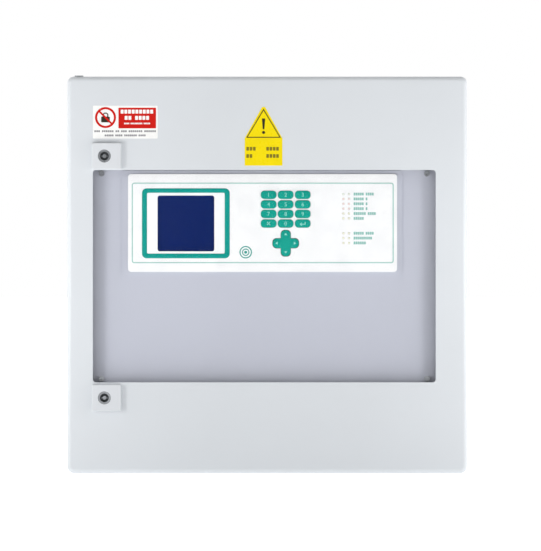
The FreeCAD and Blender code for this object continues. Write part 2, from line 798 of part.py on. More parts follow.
def door():
    sheet = D["steel_sheet"]
    rear = D["door_front"] - D["door_depth"]
    body = new_body("door")
    outline = sketch_on(body, "door_outline", rear)
    rounded_rectangle(outline, around(0, D["cabinet_width"] / 2), around(0, D["cabinet_height"] / 2),
                      D["corner_radius"])
    solid = pad(body, outline, D["door_depth"])
    solid = round_edges(body, solid, D["door_front"], D["door_edge_radius"])
    hollow(body, solid, rear)

    openings = sketch_on(body, "door_openings", D["door_front"] + 1.0)
    rounded_rectangle(openings, window_span(0)[0], window_span(0)[1], D["window_corner"])
    for level in (D["upper_lock_z"], D["lower_lock_z"]):
        circle(openings, D["lock_x"], level, D["barrel_radius"] + 0.1)
    pocket(body, openings, 4.0)

    # the side flange is notched at each hinge, so that the fixed lugs stay clear of it
    half_width = D["cabinet_width"] / 2
    for name, level in (("upper", D["hinge_spread"]), ("lower", -D["hinge_spread"])):
        notch = sketch_on(body, f"{name}_notch", D["hinge_forward"] + 5.0)
        rounded_rectangle(notch, (half_width - 5.0, half_width + 5.0), around(level, 17.0), 1.0)
        pocket(body, notch, 20.0)
    keep(body, "door_panel")

    gasket_x = D["lip_half_width"] - sheet / 2
    gasket_z = D["lip_half_height"] - sheet / 2
    half = D["gasket_width"] / 2
    inside = D["door_front"] - sheet
    gasket = plate("gasket", around(0, gasket_x + half), around(0, gasket_z + half), 10.0,
                   (D["gasket_back"], inside),
                   openings=[(around(0, gasket_x - half), around(0, gasket_z - half), 4.0)])
    keep(gasket, "door_gasket")
    plug_middle = D["door_front"] - 9.0
    crown = D["cabinet_height"] / 2
    shank = post("plug_shank", -235.6, plug_middle, (crown - 1.5, crown), 2.5)
    cap = post("plug_cap", -235.6, plug_middle, (crown, crown + 1.3), 5.5)
    # the plug's shank sits in a hole of the door's top flange
    hole = sketch_on(body, "plug_hole", crown + 2.0, "XY_Plane")
    circle(hole, -235.6, 0 - plug_middle, 2.55)
    pocket(body, hole, 5.0)
    keep(fuse("plug", [shank, cap]), "edge_plug")


def window_span(extra):
    return (around(D["window_middle_x"], D["window_width"] / 2 + extra),
            around(D["window_middle_z"], D["window_height"] / 2 + extra))


def window():
    inside = D["door_front"] - D["steel_sheet"]
    seal_back = inside - D["seal_thickness"]
    pane_back = seal_back - D["pane_thickness"]
    outer_x, outer_z = window_span(D["pane_overlap"])
    opening = (*window_span(0.3), D["window_corner"])
    keep(plate("seal", outer_x, outer_z, 3.0, (seal_back, inside), openings=[opening]), "window_seal")
    keep(plate("pane", outer_x, outer_z, 3.0, (pane_back, seal_back)), "window_pane")
    clips = []
    for side, edge in ((1, outer_z[1]), (-1, outer_z[0])):
        for x in (-130.0, 0.0, 130.0):
            name = f"clip_{'top' if side > 0 else 'bottom'}_{int(x) + 130}"
            low, high = sorted((edge - 4.0 * side, edge + 11.0 * side), key=number)
            foot_low, foot_high = sorted((edge + 0.3 * side, edge + 11.0 * side), key=number)
            finger = block(f"{name}_finger", (x - 10.0, x + 10.0), (pane_back - 1.2, pane_back), (low, high))
            foot = block(f"{name}_foot", (x - 10.0, x + 10.0), (pane_back, inside), (foot_low, foot_high))
            nut = rod(f"{name}_nut", x, (pane_back - 3.7, pane_back - 1.2), edge + 6.0 * side, 3.5)
            clips.append(fuse(name, [finger, foot, nut]))
    group("window_clips", clips)


def labels():
    face = D["door_front"]
    keep(plate("prohibition", (D["ban_label_left"], D["ban_label_left"] + D["ban_label_width"]),
               (D["ban_label_low"], D["ban_label_low"] + D["ban_label_height"]), 1.2,
               (face, face + D["label_thickness"])), "prohibition_label")
    # the voltage label is a rectangle under a triangle with a blunt top
    middle = D["voltage_label_x"]
    half = D["voltage_label_width"] / 2
    low, shoulder, top = D["voltage_label_low"], D["voltage_label_shoulder"], D["voltage_label_top"]
    body = new_body("voltage")
    sketch = sketch_on(body, "voltage_outline", face)
    polygon(sketch, [(middle - half, low), (middle + half, low), (middle + half, shoulder),
                     (middle + 1.8, top), (middle - 1.8, top), (middle - half, shoulder)])
    pad(body, sketch, D["label_thickness"])
    keep(body, "voltage_label")


# --- locks -----------------------------------------------------------------------------------

def locks():
    """Two quarter-turn locks. At rest each cam points away from the window, which is unlocked."""
    x = D["lock_x"]
    face = D["door_front"]
    inside = face - D["steel_sheet"]
    boss_front = face + D["boss_proud"]
    boss_middle = x + D["boss_offset"]
    housings = []
    for name, level, side in (("upper", D["upper_lock_z"], 1), ("lower", D["lower_lock_z"], -1)):
        boss = plate(f"{name}_boss", around(boss_middle, D["boss_width"] / 2),
                     around(level, D["boss_height"] / 2), 1.6, (face, boss_front))
        round_edges(boss, boss.Tip, boss_front, 1.0)
        barrel = rod(f"{name}_barrel", x, (188.0, face + 1.0), level, D["barrel_radius"])
        bore = rod(f"{name}_bore", x, (187.0, boss_front + 1.0), level, D["core_radius"] + D["running_gap"])
        housings.append(cut(f"{name}_housing", fuse(f"{name}_blank", [boss, barrel]), [bore]))
        housings.append(ring(f"{name}_nut", x, (inside - 4.0, inside), level, 11.0, D["barrel_radius"] + 0.05))

        # core: a round plug with a keyway ring round a two-winged post, and a square tail
        plug = rod(f"{name}_plug", x, (190.0, boss_front - 0.8), level, D["core_radius"])
        socket = rod(f"{name}_socket", x, (boss_front - 7.0, boss_front), level, D["keyway_radius"])
        drilled = cut(f"{name}_drilled", plug, [socket])
        centre_post = rod(f"{name}_post", x, (boss_front - 8.0, boss_front - 2.0), level, D["key_post_radius"])
        wings = block(f"{name}_wings", around(x, 4.0), (boss_front - 8.0, boss_front - 3.0), around(level, 0.9))
        tail = block(f"{name}_tail", around(x, D["spindle_width"] / 2), (178.0, 190.0),
                     around(level, D["spindle_width"] / 2))
        keep(fuse(f"{name}_core", [drilled, centre_post, wings, tail]), f"lock_core_{name}")

        # cam: a strip on the square tail, held by a washer behind it
        cam_z = sorted((level - 9.0 * side, level + D["cam_reach"] * side), key=number)
        cam = block(f"{name}_strip", around(x, D["cam_width"] / 2),
                    (D["cam_back"], D["cam_back"] + D["cam_thickness"]), cam_z)
        square = block(f"{name}_square", around(x, D["spindle_width"] / 2 + 0.05), (175.0, 195.0),
                       around(level, D["spindle_width"] / 2 + 0.05))
        washer = cut(f"{name}_washer", rod(f"{name}_disc", x, (179.0, D["cam_back"]), level, 7.5), [square])
        group(f"lock_cam_{name}", [cut(f"{name}_plate", cam, [square]), washer])
    group("lock_housings", housings)


# --- hinges ----------------------------------------------------------------------------------

def hinges():
    """Lugs on the cabinet's shoulder, a pin through each pair, and a knuckle on the door between."""
    x, forward = D["hinge_x"], D["hinge_forward"]
    inside = D["door_front"] - D["steel_sheet"]
    shoulder = D["body_depth"]
    inner = D["lip_half_width"] + 0.5
    bore_radius = D["pin_radius"] + D["running_gap"]
    brackets, pins, leaves = [], [], []
    for name, level in (("upper", D["hinge_spread"]), ("lower", -D["hinge_spread"])):
        low_lug = (level - D["knuckle_half"] - D["side_gap"] - D["lug_thickness"],
                   level - D["knuckle_half"] - D["side_gap"])
        high_lug = (level + D["knuckle_half"] + D["side_gap"],
                    level + D["knuckle_half"] + D["side_gap"] + D["lug_thickness"])
        shapes = [block(f"{name}_spine", (inner, inner + 2.0), (shoulder, forward - 0.8),
                        (low_lug[0], high_lug[1]))]
        for place, lug in (("low", low_lug), ("high", high_lug)):
            shapes.append(block(f"{name}_{place}_arm", (inner, x - 2.0), (shoulder, forward - 0.5), lug))
            shapes.append(post(f"{name}_{place}_eye", x, forward, lug, D["knuckle_radius"]))
        bore = post(f"{name}_lug_bore", x, forward, (low_lug[0] - 1.0, high_lug[1] + 1.0), bore_radius)
        brackets.append(cut(f"{name}_lugs", fuse(f"{name}_lug_blank", shapes), [bore]))

        shank = post(f"{name}_pin_shank", x, forward, (low_lug[0] - 1.0, high_lug[1]), D["pin_radius"])
        head = post(f"{name}_pin_head", x, forward, (high_lug[1], high_lug[1] + 1.6), 3.2)
        pins.append(fuse(f"{name}_pin", [shank, head]))

        height = around(level, D["knuckle_half"])
        knuckle = post(f"{name}_knuckle", x, forward, height, D["knuckle_radius"])
        arm = block(f"{name}_leaf_arm", (x - 3.0, x + 1.0), (forward, inside), height)
        leaf_bore = post(f"{name}_leaf_bore", x, forward, around(level, D["knuckle_half"] + 1.0), bore_radius)
        leaves.append(cut(f"{name}_leaf", fuse(f"{name}_leaf_blank", [knuckle, arm]), [leaf_bore]))
    group("hinge_brackets", brackets)
    group("hinge_pins", pins)
    group("hinge_leaves", leaves)


# --- build, test and write -------------------------------------------------------------------

def test_document():
    failed = [item.Name for item in doc.Objects if {"Invalid", "Error"} & set(item.State)]
    if failed:
        raise RuntimeError(f"failed objects: {failed}")
    for piece in pieces:
        if piece.Shape.isNull() or not piece.Shape.isValid() or not piece.Shape.Solids:
            raise RuntimeError(f"bad shape: {piece.Label}")


def write_parts():
    os.makedirs("parts", exist_ok=True)
    for piece in pieces:
        box = piece.Shape.BoundBox
        print(f"{piece.Label:20s} solids {len(piece.Shape.Solids):2d}"
              f"  x {box.XMin:8.2f} {box.XMax:8.2f}  y {box.YMin:8.2f} {box.YMax:8.2f}"
              f"  z {box.ZMin:8.2f} {box.ZMax:8.2f}")
        piece.Shape.exportStep(f"parts/{piece.Label}.step")
    print(f"{len(pieces)} pieces written")


for build in (cabinet, cable_entry, mounting_plate, batteries, boards, mains_side, panel_supports, inner_panel,
              fascia, keys, cursor_pad, display, door, window, labels, locks, hinges):
    build()
doc.recompute()
test_document()
write_parts()
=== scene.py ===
"""Looks of the fire alarm control panel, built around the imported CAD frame.

Everything is in metres in the frame's axes: +Z up, the front faces -Y, the wall is the plane y = 0.
"Forward" is the distance from the wall towards the front, so y = -forward.
"""

import json
import math
import random

import bmesh
import bpy
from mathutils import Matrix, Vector


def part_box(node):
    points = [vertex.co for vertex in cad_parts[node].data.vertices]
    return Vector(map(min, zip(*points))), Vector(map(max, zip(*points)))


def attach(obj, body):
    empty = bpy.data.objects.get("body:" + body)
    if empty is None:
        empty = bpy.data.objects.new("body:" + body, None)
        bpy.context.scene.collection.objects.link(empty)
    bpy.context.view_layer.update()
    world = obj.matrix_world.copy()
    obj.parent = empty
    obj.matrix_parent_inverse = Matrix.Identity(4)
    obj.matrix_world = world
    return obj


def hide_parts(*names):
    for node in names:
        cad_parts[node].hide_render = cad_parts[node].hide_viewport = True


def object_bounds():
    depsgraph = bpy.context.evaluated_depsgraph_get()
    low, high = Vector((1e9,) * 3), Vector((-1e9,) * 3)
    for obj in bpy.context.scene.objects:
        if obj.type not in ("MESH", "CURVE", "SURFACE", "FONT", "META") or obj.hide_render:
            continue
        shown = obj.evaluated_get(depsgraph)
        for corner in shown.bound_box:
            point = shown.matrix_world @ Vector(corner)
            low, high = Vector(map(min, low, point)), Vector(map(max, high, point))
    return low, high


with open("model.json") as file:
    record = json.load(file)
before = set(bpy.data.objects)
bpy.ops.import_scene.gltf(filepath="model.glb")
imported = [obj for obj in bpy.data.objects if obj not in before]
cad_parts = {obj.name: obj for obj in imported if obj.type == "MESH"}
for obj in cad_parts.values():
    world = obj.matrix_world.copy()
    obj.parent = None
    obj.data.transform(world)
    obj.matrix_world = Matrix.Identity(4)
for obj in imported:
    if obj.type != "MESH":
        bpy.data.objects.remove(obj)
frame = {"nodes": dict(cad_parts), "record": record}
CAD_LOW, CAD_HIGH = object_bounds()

MM = 0.001
SCENE = bpy.context.scene
NODES = frame["nodes"]
RECORD = frame["record"]
SLOT_OF_NODE = {part["node"]: part["material_slot"] for part in RECORD["subparts"]}
KEY_NAMES = ["one", "two", "three", "four", "five", "six", "seven", "eight", "nine",
             "escape", "zero", "enter"]


# --- colours and shader building blocks ------------------------------------------------------

def srgb(red, green, blue):
    """Linear colour from 0-255 display values."""
    def linear(value):
        share = value / 255
        return share / 12.92 if share <= 0.04045 else ((share + 0.055) / 1.055) ** 2.4
    return (linear(red), linear(green), linear(blue), 1.0)


def shade(colour, factor):
    return tuple(min(1.0, channel * factor) for channel in colour[:3]) + (1.0,)


class Shader:
    """A material with a Principled surface and short ways to add detail to it."""

    def __init__(self, name, colour, roughness, **sockets):
        self.material = bpy.data.materials.new(name)
        self.material.use_nodes = True
        self.tree = self.material.node_tree
        self.surface = self.tree.nodes["Principled BSDF"]
        self.surface.inputs["Base Color"].default_value = colour
        self.surface.inputs["Roughness"].default_value = roughness
        for socket, value in sockets.items():
            self.surface.inputs[socket.replace("_", " ")].default_value = value
        self.colour = colour
        self.roughness = roughness
        self.place = self.node("ShaderNodeTexCoord").outputs["Object"]

    def node(self, kind, **settings):
        made = self.tree.nodes.new(kind)
        for name, value in settings.items():
            setattr(made, name, value)
        return made

    def link(self, output, socket):
        self.tree.links.new(output, socket)

    def stretched(self, scale):
        mapping = self.node("ShaderNodeMapping")
        mapping.inputs["Scale"].default_value = scale
        self.link(self.place, mapping.inputs["Vector"])
        return mapping.outputs["Vector"]

    def noise(self, scale, detail=2.0, roughness=0.5, place=None):
        texture = self.node("ShaderNodeTexNoise")
        texture.inputs["Scale"].default_value = scale
        texture.inputs["Detail"].default_value = detail
        texture.inputs["Roughness"].default_value = roughness
        self.link(place or self.place, texture.inputs["Vector"])
        return texture.outputs["Fac"]

    def cells(self, scale, feature="F1", place=None):
        texture = self.node("ShaderNodeTexVoronoi", feature=feature)
        texture.inputs["Scale"].default_value = scale
        self.link(place or self.place, texture.inputs["Vector"])
        return texture

    def spread(self, factor, low, high, start=0.3, end=0.7):
        """Map a factor's middle range onto low to high."""
        ranged = self.node("ShaderNodeMapRange")
        for socket, value in (("From Min", start), ("From Max", end), ("To Min", low), ("To Max", high)):
            ranged.inputs[socket].default_value = value
        self.link(factor, ranged.inputs["Value"])
        return ranged.outputs["Result"]

    def colours(self, factor, one, other):
        mix = self.node("ShaderNodeMix", data_type="RGBA")
        self.link(factor, mix.inputs["Factor"])
        mix.inputs["A"].default_value = one
        mix.inputs["B"].default_value = other
        return mix.outputs["Result"]

    def vary_colour(self, factor, darkest, lightest=1.0):
        result = self.colours(self.spread(factor, 0.0, 1.0), shade(self.colour, darkest),
                              shade(self.colour, lightest))
        self.link(result, self.surface.inputs["Base Color"])
        return self

    def vary_roughness(self, factor, change):
        self.link(self.spread(factor, self.roughness - change, self.roughness + change),
                  self.surface.inputs["Roughness"])
        return self

    def bump(self, height, distance, strength=1.0):
        relief = self.node("ShaderNodeBump")
        relief.inputs["Distance"].default_value = distance
        relief.inputs["Strength"].default_value = strength
        self.link(height, relief.inputs["Height"])
        if self.surface.inputs["Normal"].is_linked:
            self.link(self.surface.inputs["Normal"].links[0].from_socket, relief.inputs["Normal"])
        self.link(relief.outputs["Normal"], self.surface.inputs["Normal"])
        return self


def powder_coat(name, colour, roughness=0.42):
    """Baked powder paint: fine orange peel, a faint cloudiness and slightly uneven gloss."""
    paint = Shader(name, colour, roughness, Specular_IOR_Level=0.45, Coat_Weight=0.12, Coat_Roughness=0.3)
    paint.vary_colour(paint.noise(5.0, 3.0), 0.965, 1.0)
    paint.vary_roughness(paint.noise(120.0, 3.0), 0.06)
    paint.bump(paint.noise(620.0, 2.0, 0.4), 0.00012, 0.35)
    return paint.bump(paint.noise(2400.0, 1.0), 0.00003, 0.3)


def galvanised(name, colour):
    """Zinc-coated sheet with its crystal spangle."""
    zinc = Shader(name, colour, 0.38, Metallic=1.0)
    spangle = zinc.cells(95.0)
    zinc.vary_colour(spangle.outputs["Color"], 0.72, 1.08)
    zinc.vary_roughness(spangle.outputs["Color"], 0.12)
    return zinc.bump(zinc.noise(350.0, 3.0), 0.00006, 0.3)


def machined(name, colour, roughness=0.3, along=(1.0, 30.0, 30.0)):
    """Turned or drawn metal with fine parallel marks and small stains."""
    metal = Shader(name, colour, roughness, Metallic=1.0)
    marks = metal.noise(60.0, 4.0, 0.6, metal.stretched(along))
    metal.vary_colour(metal.noise(70.0, 4.0), 0.78, 1.05)
    metal.vary_roughness(marks, 0.12)
    return metal.bump(marks, 0.00004, 0.4)


def moulded(name, colour, roughness=0.5, grain=900.0, relief=0.35, **sockets):
    """Injection-moulded plastic with a spark-eroded grain."""
    plastic = Shader(name, colour, roughness, **sockets)
    plastic.vary_colour(plastic.noise(25.0, 3.0), 0.93, 1.03)
    plastic.vary_roughness(plastic.noise(150.0, 2.0), 0.07)
    return plastic.bump(plastic.noise(grain, 2.0), 0.00005, relief)


def printed(name, colour, roughness=0.35, specular=0.3):
    """Ink or overlay film: smooth, with a faint texture and uneven coverage."""
    film = Shader(name, colour, roughness, Specular_IOR_Level=specular)
    film.vary_colour(film.noise(40.0, 4.0), 0.95, 1.02)
    film.vary_roughness(film.noise(300.0, 2.0), 0.05)
    return film.bump(film.noise(1500.0, 1.0), 0.00002, 0.25)


def rubber(name, colour, roughness=0.75):
    soft = Shader(name, colour, roughness, Specular_IOR_Level=0.25)
    soft.vary_colour(soft.noise(60.0, 4.0), 0.8, 1.25)
    soft.vary_roughness(soft.noise(200.0, 3.0), 0.08)
    return soft.bump(soft.noise(700.0, 3.0), 0.00008, 0.5)


def foam(name, colour):
    """Foamed-in-place gasket: a skin over open bubbles."""
    soft = rubber(name, colour, 0.9)
    return soft.bump(soft.cells(900.0).outputs["Distance"], 0.0003, 0.7)


def clear_pane(name):
    """Acrylic sheet: nearly clear with a cool tint and faint wiping marks."""
    pane = Shader(name, srgb(196, 202, 222), 0.05, Alpha=0.01, IOR=1.49, Specular_IOR_Level=0.5)
    wiped = pane.noise(9.0, 4.0, 0.6, pane.stretched((1.0, 1.0, 3.0)))
    pane.link(pane.spread(wiped, 0.03, 0.09), pane.surface.inputs["Roughness"])
    pane.link(pane.spread(pane.noise(4.0, 2.0), 0.006, 0.012), pane.surface.inputs["Alpha"])
    return pane


def screen(name):
    """Unlit blue liquid-crystal panel under glass, with a fine dot grid."""
    glass = Shader(name, srgb(10, 32, 98), 0.1, Specular_IOR_Level=0.12)
    dots = glass.cells(1500.0, place=glass.stretched((1.0, 0.0, 1.0)))
    dots.inputs["Randomness"].default_value = 0.0
    shown = glass.colours(glass.spread(dots.outputs["Distance"], 0.0, 1.0, 0.2, 0.6),
                          srgb(4, 34, 102), srgb(1, 26, 86))
    glass.link(shown, glass.surface.inputs["Base Color"])
    return glass.vary_roughness(glass.noise(30.0, 3.0), 0.04)


def circuit(name):
    """Green solder mask with darker copper-free lanes."""
    board = Shader(name, srgb(22, 92, 52), 0.35, Coat_Weight=0.3, Coat_Roughness=0.2)
    lanes = board.cells(240.0, "DISTANCE_TO_EDGE", board.stretched((1.0, 1.0, 0.35)))
    mask = board.colours(board.spread(lanes.outputs["Distance"], 0.0, 1.0, 0.02, 0.09),
                         srgb(46, 128, 76), srgb(18, 84, 46))
    board.link(mask, board.surface.inputs["Base Color"])
    return board.bump(lanes.outputs["Distance"], 0.00008, 0.4)


def lens(name, colour):
    """Pale diffused light-emitting diode, unlit."""
    dome = Shader(name, colour, 0.22, Specular_IOR_Level=0.5, Subsurface_Weight=0.25)
    dome.surface.inputs["Subsurface Radius"].default_value = (0.002, 0.0015, 0.001)
    dome.surface.inputs["Subsurface Scale"].default_value = 0.5
    dome.vary_colour(dome.noise(400.0, 2.0), 0.93, 1.03)
    return dome


def perforated(name):
    """Folded aluminium cover with rows of round vent holes, painted rather than cut: dark discs of painted
    shade where the inside shows, dented by the bump.
    """
    cover = Shader(name, srgb(188, 190, 192), 0.35, Metallic=1.0)
    holes = cover.cells(160.0, place=cover.stretched((1.0, 0.0, 1.0)))
    holes.inputs["Randomness"].default_value = 0.0
    # painted shade: near-black discs where the vent holes are stand in for the unlit inside seen through them
    seen = cover.colours(cover.spread(holes.outputs["Distance"], 0.0, 1.0, 0.30, 0.34),
                         srgb(24, 24, 26), srgb(188, 190, 192))
    cover.link(seen, cover.surface.inputs["Base Color"])
    cover.bump(cover.spread(holes.outputs["Distance"], 0.0, 1.0, 0.28, 0.36), 0.0004, 0.6)
    return cover.vary_roughness(cover.noise(90.0, 3.0), 0.08)


def make_materials():
    """One finished material for each of the record's slots, and a few inks of the print."""
    made = {
        "cabinet_paint": powder_coat("cabinet_paint", srgb(211, 214, 218)),
        "door_paint": powder_coat("door_paint", srgb(217, 221, 225)),
        "boss_paint": powder_coat("boss_paint", srgb(215, 218, 222), 0.36),
        "panel_paint": powder_coat("panel_paint", srgb(196, 199, 211), 0.5),
        "zinc_plate": galvanised("zinc_plate", srgb(190, 194, 198)),
        "screw_steel": machined("screw_steel", srgb(176, 179, 184), 0.34),
        "lock_metal": machined("lock_metal", srgb(130, 133, 136), 0.36, (25.0, 1.0, 25.0)),
        # painted shade: the dark ring on the floor of each lock's keyway
        "keyway_painted_shade": moulded("keyway_painted_shade", srgb(92, 96, 98), 0.6),
        "aluminium_case": perforated("aluminium_case"),
        "spacer_brass": machined("spacer_brass", srgb(196, 168, 98), 0.25),
        "black_rubber": rubber("black_rubber", srgb(34, 34, 36)),
        "gasket_foam": foam("gasket_foam", srgb(58, 58, 62)),
        "mat_rubber": rubber("mat_rubber", srgb(176, 178, 178), 0.65),
        "window_clear": clear_pane("window_clear"),
        "screen_navy": screen("screen_navy"),
        "fascia_white": printed("fascia_white", srgb(252, 253, 254), 0.3),
        "key_teal": moulded("key_teal", srgb(2, 162, 144), 0.62, 1200.0, 0.1, Specular_IOR_Level=0.08),
        "label_white": printed("label_white", srgb(250, 250, 248), 0.25),
        "label_yellow": printed("label_yellow", srgb(246, 222, 8), 0.3, 0.15),
        "plug_grey": moulded("plug_grey", srgb(172, 176, 178)),
        "battery_case": moulded("battery_case", srgb(62, 64, 68), 0.45, 500.0),
        "circuit_board": circuit("circuit_board"),
        "terminal_green": moulded("terminal_green", srgb(52, 150, 84), 0.4),
        "terminal_grey": moulded("terminal_grey", srgb(158, 162, 164), 0.5),
        "black_plastic": moulded("black_plastic", srgb(36, 36, 38), 0.4),
        "led_red": lens("led_red", srgb(252, 230, 226)),
        "led_yellow": lens("led_yellow", srgb(252, 250, 226)),
        "led_green": lens("led_green", srgb(246, 248, 238)),
        "ink_teal": printed("ink_teal", srgb(2, 155, 143), specular=0.08),
        "ink_pale_teal": printed("ink_pale_teal", srgb(164, 206, 198)),
        "ink_soft_teal": printed("ink_soft_teal", srgb(138, 194, 184)),
        "ink_mark": printed("ink_mark", srgb(150, 226, 214)),
        "ink_red": printed("ink_red", srgb(206, 30, 22), specular=0.1),
        "ink_grey": printed("ink_grey", srgb(140, 140, 144)),
        "ink_olive": printed("ink_olive", srgb(132, 118, 30)),
        "ink_black": printed("ink_black", srgb(48, 44, 30)),
    }
    return {name: shader.material for name, shader in made.items()}


MATERIALS = make_materials()


# --- mesh building ---------------------------------------------------------------------------

def rounded(x, z, radius, steps=5):
    """Outline maker: a rectangle with round corners. Called with an inset, it gives the points."""
    def at(inset=0.0):
        low_x, high_x, low_z, high_z = x[0] + inset, x[1] - inset, z[0] + inset, z[1] - inset
        r = max(radius - inset, 0.02 * MM)
        points = []
        for quarter, (cx, cz) in enumerate([(high_x - r, high_z - r), (low_x + r, high_z - r),
                                            (low_x + r, low_z + r), (high_x - r, low_z + r)]):
            for step in range(steps + 1):
                angle = (quarter + step / steps) * math.pi / 2
                points.append((cx + r * math.cos(angle), cz + r * math.sin(angle)))
        return points
    return at


def disc(x, z, radius, steps=32):
    def at(inset=0.0):
        r = max(radius - inset, 0.02 * MM)
        return [(x + r * math.cos(2 * math.pi * i / steps), z + r * math.sin(2 * math.pi * i / steps))
                for i in range(steps)]
    return at


def cross(x, z, reach, arm, tip, inner, steps=6):
    """A plus with round arm ends and small fillets where the arms meet."""
    def at(inset=0.0):
        far, half = reach - inset, arm - inset
        end, nook = max(tip - inset, 0.02 * MM), inner + inset
        arm_points = []
        for step in range(steps + 1):
            angle = -math.pi / 2 + step / steps * math.pi / 2
            arm_points.append((far - end + end * math.cos(angle), -half + end + end * math.sin(angle)))
        for step in range(steps + 1):
            angle = step / steps * math.pi / 2
            arm_points.append((far - end + end * math.cos(angle), half - end + end * math.sin(angle)))
        corner = half + nook
        for step in range(1, steps):
            angle = -math.pi / 2 - step / steps * math.pi / 2
            arm_points.append((corner + nook * math.cos(angle), corner + nook * math.sin(angle)))
        points = []
        for turn in range(4):
            c, s = round(math.cos(turn * math.pi / 2)), round(math.sin(turn * math.pi / 2))
            points += [(x + c * px - s * pz, z + s * px + c * pz) for px, pz in arm_points]
        return points
    return at


def polygon(corners):
    """Straight-sided outline; the inset moves each side inward by the same distance."""
    def at(inset=0.0):
        points = []
        count = len(corners)
        for i in range(count):
            before, here, after = (Vector(corners[(i + k) % count]) for k in (-1, 0, 1))
            into, out = (here - before).normalized(), (after - here).normalized()
            normal_in, normal_out = Vector((-into.y, into.x)), Vector((-out.y, out.x))
            shift = (normal_in + normal_out) / (1 + normal_in.dot(normal_out))
            points.append(tuple(here + shift * inset))
        return points
    return at


def join_rings(bm, rings, closed=False):
    """Faces between each ring of vertices and the next."""
    count = len(rings[0])
    for one, other in list(zip(rings, rings[1:])) + ([(rings[-1], rings[0])] if closed else []):
        for i in range(count):
            j = (i + 1) % count
            bm.faces.new((one[i], one[j], other[j], other[i]))


def loft(bm, outline, profile, closed=False):
    """Join rings of the outline, one for each (inset, forward) of the profile.

    An open profile is capped at both ends; a closed one makes a frame that follows the outline.
    """
    rings = [[bm.verts.new((px, -forward, pz)) for px, pz in outline(inset)] for inset, forward in profile]
    join_rings(bm, rings, closed)
    if not closed:
        bm.faces.new(rings[0])
        bm.faces.new(list(reversed(rings[-1])))


def edge_profile(back, front, edge, steps=3, dome=0.0, dome_inset=0.0):
    """Open profile of a plate with a round front edge, and optionally a raised middle."""
    profile = [(0.0, back)]
    for step in range(steps + 1):
        angle = step / steps * math.pi / 2
        profile.append((edge * (1 - math.cos(angle)), front - dome - edge * (1 - math.sin(angle))))
    if dome:
        for step in range(1, steps + 1):
            share = step / steps
            profile.append((edge + dome_inset * share, front - dome * (1 - share) ** 2))
    return profile


def block(bm, x, forward, z, edge=0.0):
    """A block between (low, high) pairs, with the front rim rounded."""
    loft(bm, rounded(x, z, max(edge, 0.3 * MM), 2),
         edge_profile(forward[0], forward[1], max(edge, 0.1 * MM), 2))


def piece(name, body, slot, build, material=None, stands_for=(), angle=35.0):
    """Make one object from a mesh builder, give it its material and put it on its body."""
    bm = bmesh.new()
    build(bm)
    bmesh.ops.remove_doubles(bm, verts=bm.verts, dist=1e-7)
    bmesh.ops.recalc_face_normals(bm, faces=bm.faces)
    mesh = bpy.data.meshes.new(name)
    bm.to_mesh(mesh)
    bm.free()
    made = bpy.data.objects.new(name, mesh)
    SCENE.collection.objects.link(made)
    mesh.materials.append(MATERIALS[material or slot])
    smooth(mesh, angle)
    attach(made, body)
    if stands_for:
        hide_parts(*stands_for)
    return made


def smooth(mesh, angle):
    """Smooth shading that keeps edges sharper than the angle crisp."""
    bm = bmesh.new()
    bm.from_mesh(mesh)
    limit = math.radians(angle)
    for face in bm.faces:
        face.smooth = True
    for edge in bm.edges:
        edge.smooth = len(edge.link_faces) == 2 and edge.calc_face_angle(0.0) < limit
    bm.to_mesh(mesh)
    bm.free()


def middle(low_high):
    return (low_high[0] + low_high[1]) / 2


def spans(node):
    """The node's (low, high) along X, forward and Z."""
    low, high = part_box(node)
    return (low.x, high.x), (-high.y, -low.y), (low.z, high.z)


# --- CAD nodes keep their meshes and get their slot's material ---------------------------------

def dress_cad_nodes():
    for name, node in NODES.items():
        node.data.materials.clear()
        node.data.materials.append(MATERIALS[SLOT_OF_NODE[name]])


# --- fascia ----------------------------------------------------------------------------------

FILM = 0.12 * MM               # thickness of printed ink, thick enough to show as its own surface
THIN_FILM = 0.06 * MM
SUNK = 0.02 * MM               # how far a print reaches into the surface below it
LIGHT_RADIUS = 1.3 * MM


def flat_print(bm, outline, forward, thickness=FILM):
    loft(bm, outline, [(0.0, forward - SUNK), (0.0, forward + thickness)])


def line_frame(bm, outline, width, forward, thickness=FILM):
    loft(bm, outline, [(0.0, forward - SUNK), (0.0, forward + thickness),
                       (width, forward + thickness), (width, forward - SUNK)], closed=True)


